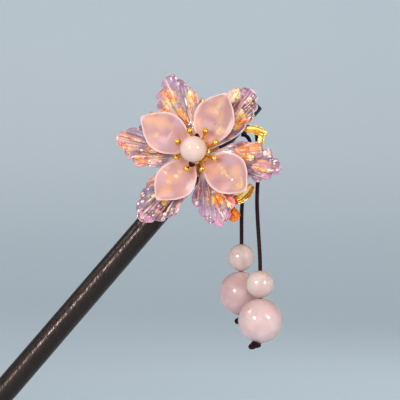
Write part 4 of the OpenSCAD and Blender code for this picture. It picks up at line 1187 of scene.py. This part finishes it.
def frosted_glass(number, drifts):
    """Etched rose glass: soft colour drifts, gold leaf flakes, painted glints, painted light at the
    foot, and a pale edge partly painted highlight.
    """
    frost, tree, shader, at = new_finish(f"frosted_rose_glass_{number}")
    lay = kept_on(tree, "lay")
    run, _, rim = split(tree, lay)
    cloud = clouds(tree, at, 210, 4, 0.55, 0.5)
    grain = clouds(tree, at, 900, 3, 0.6)
    etch = clouds(tree, at, 5200, 2, 0.5)
    body = ramp(tree, cloud, [(0.3, "#C28C8A"), (0.5, "#CE9C96"), (0.7, "#DAACA4")])
    ragged = figure(tree, "SUBTRACT", figure(tree, "ADD", cloud, grain), 1.0)
    away, chance, paleness = cells(tree, at, 1500)
    shard = times(tree, fade(tree, away, 0.42, 0.34), fade(tree, chance, 0.42, 0.46))
    flake = 0.0
    for along, across, long, wide, tone in drifts:
        colour, strength, soft = frost_tones[tone]
        scrap = (along, across, long, wide)
        here = covered(tree, lay, scrap, ragged, 1 + soft / 2, 1 - soft / 2)
        if tone in ("gilt", "olive", "cream"):
            flake = figure(tree, "MAXIMUM", flake, times(tree, here, shard))
            here = times(tree, here, fade(tree, grain, 0.4, 0.55, 0.3, 1.0))
        body = blend(tree, times(tree, here, strength), body, colour)
    gilt = blend(tree, paleness, "#E8A840", "#FFF0B8")
    body = blend(tree, times(tree, flake, 0.85), body, gilt)
    # Towards the foot the petals are painted paler and warmer: painted light where the bead's shade
    # falls.
    body = blend(tree, fade(tree, run, 0.34, 0.14, 0.0, 0.75), body, "#F4B498")
    # The pale edge: partly the polished edge's own tone, partly painted highlight.
    body = blend(tree, fade(tree, rim, 1.0, 0.25, 0.0, 0.85), body, "#F4CCC8")
    dress(tree, shader, {
        "Base Color": body,
        "Subsurface Weight": 0.45,
        "Subsurface Radius": (1.0, 0.6, 0.55),
        "Subsurface Scale": 0.0014,
        "Transmission Weight": figure(tree, "SUBTRACT", 0.14, times(tree, flake, 0.14)),
        "Metallic": times(tree, flake, 0.4),
        "Roughness": fade(tree, rim, 0.2, 1.0, 0.3, 0.52),
        "IOR": 1.5,
        "Normal": relief(tree, etch, 0.00002, 0.4, relief(tree, cloud, 0.0003, 0.35)),
    })
    return frost


for number, (turn, reach, left, right, drifts) in enumerate(frosted_petals, 1):
    shape = frosted_shape(turn, reach, left, right)
    petal = wrapped_sheet(f"frosted_rose_petal_{number}", frosted_rows, frosted_columns, shape)
    petal.data.materials.append(frosted_glass(number, drifts))
    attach(petal, "root")
    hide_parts(f"frosted_petal_{number}")


# The stamen crown: a small fluted brass cup, gold-plated, with eight thin stems soldered round it.
# Each stem bends outwards and ends in a round ball.
crown_z, crown_shift = 7.9, 0.45
stamen_count, stamen_turn = 8, math.radians(15)
stem_r, stem_taper, ball_r, ball_middle = 0.5, 0.97, 0.9, (6, 0, 2.6)
cup_flute, cup_notch = 0.14, 0.05
crown_place = Matrix(flower_turn.tolist()).to_4x4()
crown_place.translation = on_flower([crown_shift, 0, crown_z])

crown = turned("gold_stamen_crown", [
    (3.1, 0.0), (3.45, 0.1), (3.6, 0.35), (3.5, 0.58), (3.25, 0.7), (2.9, 0.6), (2.5, 0.46),
    (1.6, 0.42), (0.4, 0.5),
])
for v in crown.data.vertices:
    swing = math.cos(stamen_count * (math.atan2(v.co.y, v.co.x) - stamen_turn))
    wave = max(0, math.hypot(v.co.x, v.co.y) / MM - 1.6) / 2
    v.co.z += cup_flute * MM * wave * swing
    v.co.xy *= 1 - cup_notch * wave * (1 - abs(swing))

stem_route = [(2.5, 0, 0.5), (3.5, 0, 0.72), (4.6, 0, 1.3), (5.4, 0, 2.0), ball_middle]
stem_path = smooth_path(stem_route, 0.4)[0] * MM
bpy.ops.object.select_all(action="DESELECT")
bpy.ops.mesh.primitive_circle_add(vertices=16, radius=stem_r * MM, location=stem_path[0],
                                  rotation=(0, math.radians(58), 0))
stem = bpy.context.object
into_mesh()
bpy.ops.mesh.edge_face_add()
for here, after in zip(stem_path, stem_path[1:]):
    bpy.ops.mesh.extrude_region_move(TRANSFORM_OT_translate={"value": after - here,
                                                             "orient_type": "GLOBAL"})
    bpy.ops.transform.resize(value=(stem_taper,) * 3, center_override=after)
out_of_mesh()
bpy.ops.object.transform_apply(location=True, rotation=True)
bpy.ops.object.select_all(action="DESELECT")
bpy.ops.mesh.primitive_uv_sphere_add(segments=28, ring_count=18, radius=ball_r * MM,
                                     location=Vector(ball_middle) * MM)
bpy.ops.object.transform_apply(location=True)
stem.select_set(True)
bpy.ops.object.join()
stamen = bpy.context.object
stamens = [stamen]
for k in range(1, stamen_count):
    hold(stamen)
    bpy.ops.object.duplicate()
    bpy.context.object.rotation_euler.z = k * 2 * math.pi / stamen_count
    stamens.append(bpy.context.object)
bpy.ops.object.select_all(action="DESELECT")
for piece in stamens:
    piece.rotation_euler.z += stamen_turn
    piece.select_set(True)
bpy.ops.object.transform_apply(rotation=True)
crown.select_set(True)
bpy.context.view_layer.objects.active = crown
bpy.ops.object.join()
crown.matrix_world = crown_place
bpy.ops.object.transform_apply(location=True, rotation=True, scale=True)
bpy.ops.object.shade_smooth_by_angle(angle=math.radians(50))
# The stamens' gold has dark spots painted on as reflections of dark surroundings.
spotted_gold = plated("polished_gold_stamens", "#E89830", "#FFC44C", "#FFEC9C", "#D07820", 0.9, 0.18)
crown.data.materials.append(spotted_gold)
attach(crown, "root")
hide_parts("stamen_crown")

# The centre bead: the whitest of the quartz beads, tied down on the crown by its own short cord,
# which comes out of the bore at both ends and goes under the petals.
centre_bead_d, centre_bore, centre_cord_d = 7.6, 1.3, 0.9
bore_way = spin(math.radians(30), 2) @ (1, 0, 0)
centre_bead = drilled_bead("centre_bead", centre_bead_d, centre_bore)
set_in_place(centre_bead, node_middle("center_bead"), flower_turn @ bore_way)
centre_bead.data.materials.append(quartz("milky_quartz", "#D2B6AA", "#DABFB2", "#E2CBBF"))
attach(centre_bead, "root")
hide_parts("center_bead")

half_loop = [
    (0, 12.6), (2, 12.6), (3.5, 12.6), (3.95, 12.5), (4.3, 12.2), (4.42, 11.7), (4.38, 11.1),
    (4.2, 10.4), (3.95, 9.7), (3.75, 9.2), (3.6, 8.86),
]
whole_loop = [(-r, h) for r, h in half_loop[:0:-1]] + half_loop
loop = on_flower([r * bore_way + (0, 0, h) for r, h in whole_loop]) / MM
centre_cord = braid("centre_cord", loop, centre_cord_d, sides=24)[0]
centre_cord.data.materials.append(dark_braid)
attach(centre_cord, "root")
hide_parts("center_cord")
